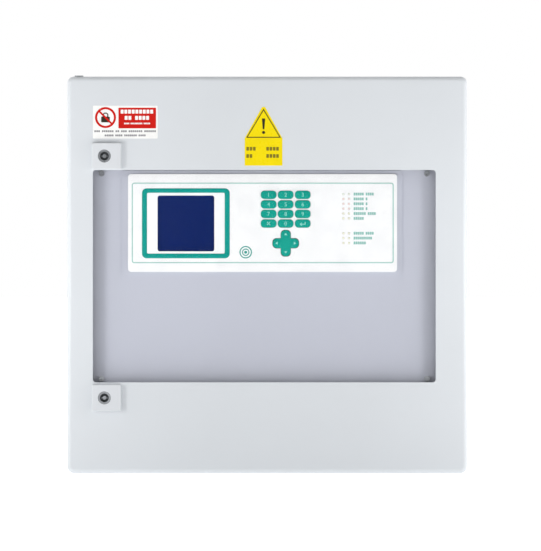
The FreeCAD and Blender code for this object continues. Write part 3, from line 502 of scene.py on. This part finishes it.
def fascia_print():
    x, forward, z = spans("fascia")
    face = forward[1]
    glass_x, _, glass_z = spans("lcd_glass")
    screen_x = (glass_x[0] + 3.45 * MM, glass_x[1] - 3.45 * MM)
    screen_z = (glass_z[0] + 3.0 * MM, glass_z[1] - 3.0 * MM)

    def border(bm):
        line_frame(bm, rounded((x[0] + 4.7 * MM, x[1] - 4.2 * MM), (z[0] + 10.8 * MM, z[1] - 10.8 * MM),
                               3.2 * MM), 1.4 * MM, face)
    piece("fascia_border_line", "cabinet", "fascia_white", border, "ink_pale_teal")

    def surround(bm):
        outer_x = (screen_x[0] - 19.5 * MM, screen_x[1] + 19.4 * MM)
        outer_z = (screen_z[0] - 8.7 * MM, screen_z[1] + 9.0 * MM)
        outer = rounded(outer_x, outer_z, 6.0 * MM, 8)
        inner = rounded((outer_x[0] + 6.3 * MM, outer_x[1] - 6.3 * MM),
                        (outer_z[0] + 5.9 * MM, outer_z[1] - 5.6 * MM), 1.6 * MM, 8)
        rings = []
        for outline, level, inset in ((outer, face - 0.02 * MM, 0.0), (outer, face + 0.2 * MM, 0.0),
                                      (outer, face + 0.3 * MM, 0.15 * MM),
                                      (inner, face + 0.3 * MM, -0.15 * MM),
                                      (inner, face + 0.2 * MM, 0.0), (inner, face - 0.02 * MM, 0.0)):
            rings.append([bm.verts.new((px, -level, pz)) for px, pz in outline(inset)])
        join_rings(bm, rings, closed=True)
    piece("screen_surround", "cabinet", "key_teal", surround, "ink_teal")

    def mark(bm):
        centre_x, centre_z = screen_x[1] + 39.4 * MM, screen_z[0] - 1.1 * MM
        line_frame(bm, disc(centre_x, centre_z, 7.8 * MM, 40), 1.3 * MM, face)
        line_frame(bm, disc(centre_x, centre_z, 4.6 * MM, 32), 1.2 * MM, face)
        flat_print(bm, disc(centre_x, centre_z, 1.8 * MM, 20), face)
    piece("round_sign", "cabinet", "key_teal", mark, "ink_teal")


def light_rows():
    """Height of each row of lights, top to bottom, and the x of the two columns."""
    rows = []
    for node, count in (("leds_green", 1), ("leds_red", 3)):
        _, _, z = spans(node)
        pitch = (z[1] - z[0] - 2 * LIGHT_RADIUS) / max(count - 1, 1)
        rows += [z[1] - LIGHT_RADIUS - pitch * i for i in range(count)]
    (low_x, high_x), _, z = spans("leds_yellow")
    pitch = rows[2] - rows[3]
    rows += [z[1] - LIGHT_RADIUS, z[1] - LIGHT_RADIUS - pitch]
    rows += [z[0] + LIGHT_RADIUS + pitch * i for i in (2, 1, 0)]
    return rows, (low_x + LIGHT_RADIUS, high_x - LIGHT_RADIUS)


def lights():
    rows, columns = light_rows()
    _, forward, _ = spans("leds_red")
    face = spans("fascia")[1][1]
    rim, tip = face - 0.4 * MM, forward[1]
    for node, chosen in (("leds_green", rows[:1]), ("leds_red", rows[1:4]), ("leds_yellow", rows[4:])):
        def domes(bm, chosen=chosen):
            for level in chosen:
                for x in columns:
                    profile = [(0.0, forward[0]), (0.0, rim)]
                    for step in range(1, 5):
                        angle = step / 5 * math.pi / 2
                        profile.append((LIGHT_RADIUS * (1 - math.cos(angle)),
                                        rim + (tip - rim) * math.sin(angle)))
                    loft(bm, disc(x, level, LIGHT_RADIUS, 20), profile)
        piece(f"{node}_domes", "cabinet", SLOT_OF_NODE[node], domes, stands_for=(node,), angle=60.0)

    # a blank caption beside each row: words of plain upright tiles instead of lettering
    captions = [(5, 4), (5, 1), (5, 1), (5, 1), (6, 4), (5,), (5, 4), (9,), (6,)]

    def tiles(bm):
        for level, words in zip(rows, captions):
            start = columns[1] + 5.9 * MM
            for count in words:
                for _ in range(count):
                    flat_print(bm, rounded((start, start + 2.1 * MM), (level - 1.75 * MM, level + 1.75 * MM),
                                           0.3 * MM, 2), face)
                    start += 2.6 * MM
                start += 2.1 * MM
    piece("caption_tiles", "cabinet", "key_teal", tiles, "ink_soft_teal")


def digit_mesh(bm, text, x, z, forward, size):
    """Add a numeral as a thin raised mesh centred on a point of the front."""
    curve = bpy.data.curves.new("numeral", "FONT")
    curve.body = text
    curve.size = size
    curve.extrude = 0.06 * MM
    curve.resolution_u = 4
    curve.align_x = "CENTER"
    curve.align_y = "CENTER"
    holder = bpy.data.objects.new("numeral", curve)
    SCENE.collection.objects.link(holder)
    bpy.context.view_layer.update()
    mesh = bpy.data.meshes.new_from_object(holder.evaluated_get(bpy.context.evaluated_depsgraph_get()))
    first = len(bm.verts)
    bm.from_mesh(mesh)
    bm.verts.ensure_lookup_table()
    points = bm.verts[first:]
    mid_x = (min(v.co.x for v in points) + max(v.co.x for v in points)) / 2
    mid_y = (min(v.co.y for v in points) + max(v.co.y for v in points)) / 2
    for vert in points:
        vert.co = Vector((x + vert.co.x - mid_x, -forward - vert.co.z, z + vert.co.y - mid_y))
    bpy.data.objects.remove(holder)
    bpy.data.curves.remove(curve)
    bpy.data.meshes.remove(mesh)


def stroke(bm, start, end, width, forward):
    """A straight printed stroke between two (x, z) points."""
    along = (Vector(end) - Vector(start)).normalized()
    side = Vector((-along.y, along.x)) * width / 2
    one, other = Vector(start), Vector(end)
    corners = [tuple(one - side), tuple(other - side), tuple(other + side), tuple(one + side)]
    flat_print(bm, polygon(corners), forward, THIN_FILM)


def keys():
    numerals = {name: str(index + 1) for index, name in enumerate(KEY_NAMES[:9])}
    numerals["zero"] = "0"
    for name in KEY_NAMES:
        node = f"key_{name}"
        x, forward, z = spans(node)
        body = f"{name}_key"
        half = (z[1] - z[0]) / 2

        def cap(bm):
            loft(bm, rounded(x, z, 4.2 * MM, 7),
                 edge_profile(forward[0], forward[1], 0.7 * MM, 4, dome=0.25 * MM, dome_inset=0.6 * half))
        piece(f"{node}_cap", body, "key_teal", cap, stands_for=(node,), angle=40.0)

        centre_x, centre_z = middle(x), middle(z)
        face = forward[1] - 0.03 * MM

        def mark(bm):
            if name == "escape":
                for turn in (-1, 1):
                    stroke(bm, (centre_x - 1.9 * MM, centre_z - 1.9 * MM * turn),
                           (centre_x + 1.9 * MM, centre_z + 1.9 * MM * turn), 1.0 * MM, face)
            elif name == "enter":
                for start, end in (((-3.0, -0.9), (3.0, -0.9)), ((3.0, -1.4), (3.0, 2.0)),
                                   ((-3.3, -1.0), (-1.3, 0.9)), ((-3.3, -0.8), (-1.3, -2.7))):
                    stroke(bm, (centre_x + start[0] * MM, centre_z + start[1] * MM),
                           (centre_x + end[0] * MM, centre_z + end[1] * MM), 0.9 * MM, face)
            else:
                digit_mesh(bm, numerals[name], centre_x, centre_z, face, 7.0 * MM)
        piece(f"{node}_mark", body, "key_teal", mark, "ink_mark")


def cursor_pad():
    x, forward, z = spans("cursor_pad")
    centre_x, centre_z = middle(x), middle(z)
    reach = (x[1] - x[0]) / 2
    back, front = forward[0] + 2.0 * MM, forward[1]

    def body(bm):
        loft(bm, cross(centre_x, centre_z, reach, 6.0 * MM, 5.8 * MM, 0.5 * MM),
             edge_profile(back, front, 0.8 * MM, 4, dome=0.3 * MM, dome_inset=3.2 * MM))
        loft(bm, disc(centre_x, centre_z, 2.5 * MM, 24), [(0.0, forward[0]), (0.0, back + 0.5 * MM)])
    piece("cursor_pad_cross", "cursor_cross", "key_teal", body, stands_for=("cursor_pad",), angle=40.0)

    def arrows(bm):
        for turn in range(4):
            c, s = round(math.cos(turn * math.pi / 2)), round(math.sin(turn * math.pi / 2))
            corners = []
            for px, pz in ((12.9, 0.0), (10.2, 1.9), (10.2, -1.9)):
                corners.append((centre_x + (c * px - s * pz) * MM, centre_z + (s * px + c * pz) * MM))
            flat_print(bm, polygon(corners), front - 0.03 * MM, THIN_FILM)
    piece("cursor_pad_arrows", "cursor_cross", "key_teal", arrows, "ink_mark")


# --- door labels -----------------------------------------------------------------------------

def ban_label():
    x, forward, z = spans("prohibition_label")
    face = forward[1]
    left, top = x[0], z[1]

    def red(bm):
        centre = (left + 15.7 * MM, top - 14.9 * MM)
        line_frame(bm, disc(*centre, 13.1 * MM, 56), 2.7 * MM, face)
        arm = 10.8 * MM * math.sqrt(0.5)
        side = 1.15 * MM * math.sqrt(0.5)
        corners = [(centre[0] - arm - side, centre[1] + arm - side),
                   (centre[0] + arm - side, centre[1] - arm - side),
                   (centre[0] + arm + side, centre[1] - arm + side),
                   (centre[0] - arm + side, centre[1] + arm + side)]
        flat_print(bm, polygon(corners), face, FILM * 1.3)
        flat_print(bm, rounded((left + 31.9 * MM, x[1] - 2.1 * MM), (z[0] + 12.7 * MM, top - 2.6 * MM),
                               0.8 * MM), face)
    piece("label_red_print", "door", "label_white", red, "ink_red")

    def plain_shape(bm):
        centre = (left + 15.7 * MM, top - 14.9 * MM)
        flat_print(bm, rounded((centre[0] - 5.4 * MM, centre[0] + 5.4 * MM),
                               (centre[1] - 6.0 * MM, centre[1] + 1.2 * MM), 1.2 * MM), face)
        line_frame(bm, rounded((centre[0] - 3.6 * MM, centre[0] + 3.6 * MM),
                               (centre[1] - 1.0 * MM, centre[1] + 6.2 * MM), 3.2 * MM), 1.4 * MM, face)
    piece("label_dark_print", "door", "label_white", plain_shape, "ink_black")

    # blank tiles stand where a label would carry words
    def white(bm):
        middle_x = left + 55.4 * MM
        word_row(bm, middle_x, top - 7.5 * MM, (9,), 3.6, 4.9, face + FILM)
        word_row(bm, middle_x, top - 15.3 * MM, (2, 4), 3.6, 4.9, face + FILM)
        word_row(bm, middle_x, top - 22.3 * MM, (4, 9, 5), 1.3, 1.9, face + FILM)
    piece("label_white_tiles", "door", "label_white", white)

    def grey(bm):
        word_row(bm, middle(x), top - 32.0 * MM, (3, 6, 2, 3, 7, 6), 1.95, 2.3, face)
        word_row(bm, middle(x), top - 37.2 * MM, (5, 4, 7, 4), 1.8, 2.3, face)
    piece("label_grey_tiles", "door", "label_white", grey, "ink_grey")


def word_row(bm, centre_x, level, words, wide, high, forward):
    """A centred row of words, each a run of upright tiles; tile sizes are in millimetres."""
    step = wide * 1.28
    total = sum(words) * step + (len(words) - 1) * step * 0.8
    start = centre_x - total * MM / 2
    for count in words:
        for _ in range(count):
            flat_print(bm, rounded((start, start + wide * MM), (level - high * MM / 2, level + high * MM / 2),
                                   wide * 0.15 * MM, 2), forward)
            start += step * MM
        start += step * 0.8 * MM


def voltage_label():
    x, forward, z = spans("voltage_label")
    face = forward[1]
    centre = middle(x)

    def dark(bm):
        apex, base = z[1] - 2.2 * MM, z[0] + 34.8 * MM
        half = 21.6 * MM
        triangle = polygon([(centre - half, base), (centre + half, base), (centre, apex)])
        line_frame(bm, triangle, 1.1 * MM, face)
        flat_print(bm, polygon([(centre - 1.0 * MM, base + 10.6 * MM), (centre + 1.0 * MM, base + 10.6 * MM),
                                (centre + 2.0 * MM, base + 24.0 * MM),
                                (centre - 2.0 * MM, base + 24.0 * MM)]), face)
        flat_print(bm, disc(centre, base + 6.6 * MM, 1.9 * MM, 24), face)
    piece("voltage_label_sign", "door", "label_yellow", dark, "ink_black")

    def tiles(bm):
        for level, count in ((21.0, 3), (12.0, 2)):
            word_row(bm, x[0] + (2.0 + 2.1 * count) * MM, z[0] + level * MM, (count,), 3.2, 4.6, face)
            word_row(bm, x[0] + 35.2 * MM, z[0] + level * MM, (4,), 3.2, 4.6, face)
    piece("voltage_label_tiles", "door", "label_yellow", tiles, "ink_olive")


# --- lock inserts ------------------------------------------------------------------------------

def lock_faces():
    """Painted highlight and painted shade on each insert: brighter steel films on the rim and post stand in
    for the light they catch, a dark ring on the keyway's floor for the shade in it.
    """
    for name in ("upper", "lower"):
        node, body = f"lock_core_{name}", f"{name}_lock"
        x, forward, z = spans(node)
        centre, rim = (middle(x), middle(z)), forward[1]

        def keyway(bm):
            # painted shade: a dark ring on the floor of the keyway recess, where shade falls
            line_frame(bm, disc(*centre, 5.35 * MM, 40), 2.9 * MM, rim - 6.2 * MM, 0.15 * MM)
        piece(f"keyway_{name}", body, "lock_metal", keyway, "keyway_painted_shade")

        def bright(bm):
            # painted highlight: brighter steel on the rim and on the post, where the insert catches light
            line_frame(bm, disc(*centre, 7.7 * MM, 48), 2.2 * MM, rim, THIN_FILM)
            flat_print(bm, disc(*centre, 2.3 * MM, 24), rim - 1.2 * MM, THIN_FILM)
        piece(f"lock_rim_{name}", body, "lock_metal", bright, "screw_steel")


# --- what shows above and below the inner panel when the door is open ---------------------------

def screw_head(bm, x, forward, z, radius, turn=0.6):
    """A pan head with a slot, facing the front."""
    loft(bm, disc(x, z, radius, 20), edge_profile(forward - 0.2 * MM, forward + 0.8 * MM, 0.4 * MM, 2))
    c, s = math.cos(turn) * radius * 0.72, math.sin(turn) * radius * 0.72
    stroke(bm, (x - c, z - s), (x + c, z + s), radius * 0.3, forward + 0.78 * MM)


POLE_FORWARD = 12.4 * MM        # from a battery's back to its poles
# chips on the main board: x, z, width and height in millimetres
CHIPS = ((-38, 152, 14, 14), (-14, 150, 18, 8), (-150, 110, 20, 20), (-110, 112, 14, 9),
         (-40, 100, 24, 24), (-92, 60, 16, 10), (0, 30, 12, 12), (-160, 20, 18, 8))
# capacitors on the main board: x, z, radius and height in millimetres
CAPACITORS = ((-76, 158, 6.3, 20), (-60, 158, 6.3, 20), (-76, 141, 5.0, 16),
              (-62, 142, 5.0, 16), (10, 120, 8.0, 24), (-8, 120, 8.0, 24))


def battery_details():
    for node in ("battery_left", "battery_right"):
        x, forward, z = spans(node)
        case_top = z[1] - 12.0 * MM
        lid_top = z[1] - 6.0 * MM

        def ribs(bm):
            block(bm, (x[0] + 4 * MM, x[1] - 4 * MM), (forward[1] - 0.1 * MM, forward[1] + 0.5 * MM),
                  (case_top - 3.0 * MM, case_top - 0.8 * MM), 0.4 * MM)
            for side in (x[0] + 5 * MM, x[1] - 8 * MM):
                block(bm, (side, side + 3 * MM), (forward[1] - 0.1 * MM, forward[1] + 0.6 * MM),
                      (z[0] + 2 * MM, case_top - 3.4 * MM), 0.4 * MM)
        piece(f"{node}_ribs", "cabinet", "battery_case", ribs)

        def tag(bm):
            flat_print(bm, rounded((x[0] + 24 * MM, x[1] - 24 * MM), (z[0] + 24 * MM, case_top - 16 * MM),
                                   2.0 * MM), forward[1], 0.15 * MM)
        piece(f"{node}_tag", "cabinet", "label_white", tag)

        def bars(bm):
            face = forward[1] + 0.15 * MM
            flat_print(bm, rounded((x[0] + 24 * MM, x[1] - 24 * MM), (case_top - 24 * MM, case_top - 18 * MM),
                                   0.3 * MM, 2), face)
            for row, (start, end) in enumerate(((30, 88), (30, 104), (30, 72))):
                level = z[0] + (42 - 6 * row) * MM
                flat_print(bm, rounded((x[0] + start * MM, x[0] + end * MM), (level, level + 2.2 * MM),
                                       0.4 * MM, 2), face)
        piece(f"{node}_bars", "cabinet", "label_white", bars, "ink_grey")

        def tabs(bm):
            for start in (x[0] + 12.0 * MM, x[1] - 18.3 * MM):
                middle_f = forward[0] + POLE_FORWARD
                block(bm, (start - 0.15 * MM, start + 6.45 * MM),
                      (middle_f - 0.55 * MM, middle_f + 0.55 * MM),
                      (lid_top - 0.2 * MM, z[1] + 0.1 * MM), 0.3 * MM)
        piece(f"{node}_tabs", "cabinet", "zinc_plate", tabs)

        poles = ((x[0] + 15.15 * MM, "ink_red"), (x[1] - 15.15 * MM, "ink_black"))
        for index, (start, ink) in enumerate(poles):
            def collar(bm):
                middle_y = -(forward[0] + POLE_FORWARD)
                angles = [i * math.pi / 12 for i in range(24)]
                rings = [[bm.verts.new((start + radius * MM * math.cos(angle),
                                        middle_y + radius * MM * math.sin(angle), lid_top + up * MM))
                          for angle in angles] for radius, up in ((5.4, 0.0), (5.4, 0.9), (4.8, 1.3))]
                join_rings(bm, rings)
                bm.faces.new(rings[0])
                bm.faces.new(rings[-1])
            piece(f"{node}_collar_{index}", "cabinet", "battery_case", collar, ink)


def board_details():
    x, forward, z = spans("main_board")
    face = forward[1]
    chance = random.Random(4)

    def cans(bm):
        """Electrolytic capacitors, crimped near the board and bevelled at the free end."""
        for px, pz, radius, height in CAPACITORS:
            profile = [(0.3, 0.0), (0.0, 0.5), (0.0, 2.2), (0.45, 2.8), (0.0, 3.4), (0.0, height - 0.6),
                       (0.6, height), (1.6, height - 0.3)]
            loft(bm, disc(px * MM, pz * MM, radius * MM, 28), [(i * MM, face + f * MM) for i, f in profile])
    piece("board_capacitors", "cabinet", "black_plastic", cans)

    def chips(bm):
        for px, pz, wide, high in CHIPS:
            body = rounded(((px - wide / 2) * MM, (px + wide / 2) * MM),
                           ((pz - high / 2) * MM, (pz + high / 2) * MM), 0.4 * MM, 2)
            loft(bm, body, [(0.2 * MM, face), (0.0, face + 1.0 * MM), (0.3 * MM, face + 2.2 * MM)])
    piece("board_chips", "cabinet", "black_plastic", chips)

    def legs(bm):
        for px, pz, wide, high in CHIPS:
            count = int(wide / 1.6)
            for index in range(count):
                start = px - wide / 2 + (index + 0.5) * wide / count
                for low, top in ((-high / 2 - 1.6, -high / 2 + 0.2), (high / 2 - 0.2, high / 2 + 1.6)):
                    block(bm, ((start - 0.3) * MM, (start + 0.3) * MM), (face, face + 0.7 * MM),
                          ((pz + low) * MM, (pz + top) * MM), 0.1 * MM)
        for _ in range(90):
            px, pz = chance.uniform(-188, 24), chance.uniform(-40, 130)
            block(bm, (px * MM, (px + 2.0) * MM), (face, face + 0.8 * MM), (pz * MM, (pz + 1.2) * MM),
                  0.2 * MM)
        for index in range(34):
            px = -54 + (index % 17) * 4.4
            pz = 170 - 36 * (index // 17)
            block(bm, (px * MM, (px + 2.0) * MM), (face, face + 0.8 * MM), (pz * MM, (pz + 1.2) * MM),
                  0.2 * MM)
    piece("board_pins_and_chips", "cabinet", "zinc_plate", legs)

    def corner_screws(bm):
        for px in (x[0] + 6 * MM, x[1] - 6 * MM):
            for pz in (z[0] + 6 * MM, z[1] - 6 * MM):
                screw_head(bm, px, face + 0.2 * MM, pz, 3.0 * MM)
    piece("board_screws", "cabinet", "screw_steel", corner_screws)

    relay_x, relay_f, relay_z = spans("board_relays")

    def relay_print(bm):
        for index in range(4):
            start = relay_x[0] + (3.0 + 24.0 * index) * MM
            for row, wide in enumerate((13.0, 9.0, 11.0)):
                level = relay_z[1] - (4.0 + 3.6 * row) * MM
                flat_print(bm, rounded((start, start + wide * MM), (level - 0.6 * MM, level + 0.6 * MM),
                                       0.2 * MM, 2),
                           relay_f[1], THIN_FILM)
    piece("relay_print", "cabinet", "black_plastic", relay_print, "ink_grey")

    terminal_x, terminal_f, terminal_z = spans("board_terminals")

    def terminal_screws(bm):
        for index in range(7):
            for step in range(5):
                px = terminal_x[0] + (28.0 * index + 2.5 + 5.0 * step) * MM
                screw_head(bm, px, terminal_f[1] - 0.5 * MM, middle(terminal_z) + 1.5 * MM, 1.9 * MM,
                           chance.uniform(0, 3))
    piece("terminal_screws", "cabinet", "screw_steel", terminal_screws)


def supply_details():
    x, forward, z = spans("power_supply")

    def screws(bm):
        for index in range(9):
            screw_head(bm, x[0] + 8.0 * MM, forward[0] + 33.0 * MM, z[0] + (13.5 + 8.9 * index) * MM,
                       3.0 * MM, 0.3 + 0.4 * (index % 3))
        for px in (x[0] + 25 * MM, x[1] - 6 * MM):
            for pz in (z[0] + 6 * MM, z[1] - 6 * MM):
                screw_head(bm, px, forward[1], pz, 2.4 * MM)
    piece("supply_screws", "cabinet", "screw_steel", screws)

    def walls(bm):
        for index in range(10):
            level = z[0] + (9.05 + 8.9 * index) * MM
            block(bm, (x[0] + 1.2 * MM, x[0] + 15.0 * MM), (forward[0] + 32.8 * MM, forward[0] + 36.0 * MM),
                  (level - 0.6 * MM, level + 0.6 * MM), 0.2 * MM)
    piece("supply_barriers", "cabinet", "black_plastic", walls)

    def tag(bm):
        flat_print(bm, rounded((x[0] + 60 * MM, x[1] - 28 * MM), (z[1] - 34 * MM, z[1] - 10 * MM), 1.5 * MM),
                   forward[1], FILM)
    piece("supply_tag", "cabinet", "label_white", tag)

    def bars(bm):
        for row, wide in enumerate((52.0, 40.0, 47.0)):
            level = z[1] - (15.5 + 6.0 * row) * MM
            flat_print(bm, rounded((x[0] + 64 * MM, x[0] + (64 + wide) * MM),
                                   (level - 0.9 * MM, level + 0.9 * MM), 0.3 * MM, 2), forward[1] + FILM)
    piece("supply_bars", "cabinet", "label_white", bars, "ink_grey")

    clamp_x, clamp_f, clamp_z = spans("mains_terminals")

    def clamp_screws(bm):
        for index in range(4):
            for pz in (clamp_z[0] + 9 * MM, clamp_z[1] - 9 * MM):
                screw_head(bm, clamp_x[0] + (4.2 + 9.0 * index) * MM, clamp_f[1], pz, 2.6 * MM,
                           1.1 + 0.3 * index)
    piece("clamp_screws", "cabinet", "screw_steel", clamp_screws)


# --- stage, light and camera -----------------------------------------------------------------

VIEW_HEIGHT = 688.23 * MM      # seen at the door's face, from the top of the frame to its bottom
OFF_CENTRE = Vector((4.18 * MM, 0.0, -0.87 * MM))
FLOOR_HALF = 30.0
FLOOR_DROP = 1.0 * MM
CARD_HALF = 1.1
CARD_Y = -5.2


def stage():
    level, half = CAD_LOW.z - FLOOR_DROP, FLOOR_HALF
    mesh = bpy.data.meshes.new("floor")
    mesh.from_pydata([(-half, -half, level), (half, -half, level), (half, half, level), (-half, half, level)],
                     [], [(0, 1, 2, 3)])
    floor = bpy.data.objects.new("floor", mesh)
    SCENE.collection.objects.link(floor)
    pale = Shader("floor_pale", (0.92, 0.92, 0.92, 1.0), 0.7)
    pale.surface.inputs["Emission Color"].default_value = (1.0, 1.0, 1.0, 1.0)
    # a touch of glow, stronger far away, keeps the floor as white as the surround
    reach = pale.node("ShaderNodeVectorMath", operation="LENGTH")
    pale.link(pale.place, reach.inputs[0])
    pale.link(pale.spread(reach.outputs["Value"], 0.5, 0.8, 0.5, 3.5),
              pale.surface.inputs["Emission Strength"])
    pale.vary_colour(pale.noise(1.5, 2.0), 0.985, 1.0)
    mesh.materials.append(pale.material)

    # a dark card behind the camera, so the window and the screen don't mirror the white surround
    mesh = bpy.data.meshes.new("dark_card")
    half, back = CARD_HALF, CARD_Y
    mesh.from_pydata([(-half, back, -half), (half, back, -half), (half, back, half), (-half, back, half)],
                     [], [(0, 1, 2, 3)])
    card = bpy.data.objects.new("dark_card", mesh)
    SCENE.collection.objects.link(card)
    card.visible_camera = False
    card.visible_diffuse = False
    card.visible_shadow = False
    felt = Shader("card_black", (0.005, 0.005, 0.005, 1.0), 0.9)
    felt.vary_colour(felt.noise(6.0, 2.0), 0.8)
    mesh.materials.append(felt.material)


def area_light(name, place, target, size, power):
    lamp = bpy.data.lights.new(name, "AREA")
    lamp.shape = "RECTANGLE"
    lamp.size, lamp.size_y = size
    lamp.energy = power
    holder = bpy.data.objects.new(name, lamp)
    SCENE.collection.objects.link(holder)
    holder.location = place
    direction = Vector(target) - Vector(place)
    holder.rotation_euler = direction.to_track_quat("-Z", "Y").to_euler()
    holder.visible_camera = False
    return holder


def studio():
    """White surround, brighter overhead and dim in front, with a soft key and soft side lights."""
    world = bpy.data.worlds.new("studio")
    SCENE.world = world
    world.use_nodes = True
    tree = world.node_tree
    background = tree.nodes["Background"]
    background.inputs["Color"].default_value = (1.0, 1.0, 1.0, 1.0)
    place = tree.nodes.new("ShaderNodeTexCoord")
    split = tree.nodes.new("ShaderNodeSeparateXYZ")
    tree.links.new(place.outputs["Generated"], split.inputs["Vector"])
    shares = []
    # strength from the horizon up to overhead, times strength from in front round to behind
    for axis, start, end, one, other in (("Z", 0.25, 0.8, 1.0, 1.75), ("Y", 0.15, 0.6, 0.31, 1.0)):
        ramp = tree.nodes.new("ShaderNodeMapRange")
        for socket, value in (("From Min", start), ("From Max", end), ("To Min", one), ("To Max", other)):
            ramp.inputs[socket].default_value = value
        tree.links.new(split.outputs[axis], ramp.inputs["Value"])
        shares.append(ramp.outputs["Result"])
    both = tree.nodes.new("ShaderNodeMath")
    both.operation = "MULTIPLY"
    tree.links.new(shares[0], both.inputs[0])
    tree.links.new(shares[1], both.inputs[1])
    tree.links.new(both.outputs["Value"], background.inputs["Strength"])

    front = -CAD_LOW.y
    area_light("key_left", (-1.25, -front - 1.1, 0.0), (0.0, -front, 0.0), (0.26, 0.26), 1.2)
    for name, side, edge_power in (("left", -1, 2.2), ("right", 1, 3.4)):
        area_light(f"edge_{name}", (side * 1.5, -front - 0.14, 0.0), (side * 0.25, -front, 0.0), (0.3, 0.5),
                   edge_power)
        area_light(f"near_{name}", (side * 0.56, -front - 0.35, 0.0), (side * 0.2, -front, 0.0), (0.14, 0.14),
                   0.65)


def camera():
    lens = bpy.data.cameras.new("camera")
    lens.lens = 200.0
    lens.sensor_width = 36.0
    lens.clip_end = 60.0
    holder = bpy.data.objects.new("camera", lens)
    SCENE.collection.objects.link(holder)
    # the frame is taller than wide, so the sensor's width spans its height
    distance = VIEW_HEIGHT * lens.lens / lens.sensor_width
    door_front = spans("door_panel")[1][1]
    holder.location = OFF_CENTRE + Vector((0.0, -door_front - distance, 0.0))
    holder.rotation_euler = (math.pi / 2, 0.0, 0.0)
    SCENE.camera = holder


# --- everything together ---------------------------------------------------------------------

SCENE.view_settings.view_transform = "Standard"
dress_cad_nodes()
fascia_print()
lights()
keys()
cursor_pad()
ban_label()
voltage_label()
lock_faces()
battery_details()
board_details()
supply_details()
stage()
studio()
camera()
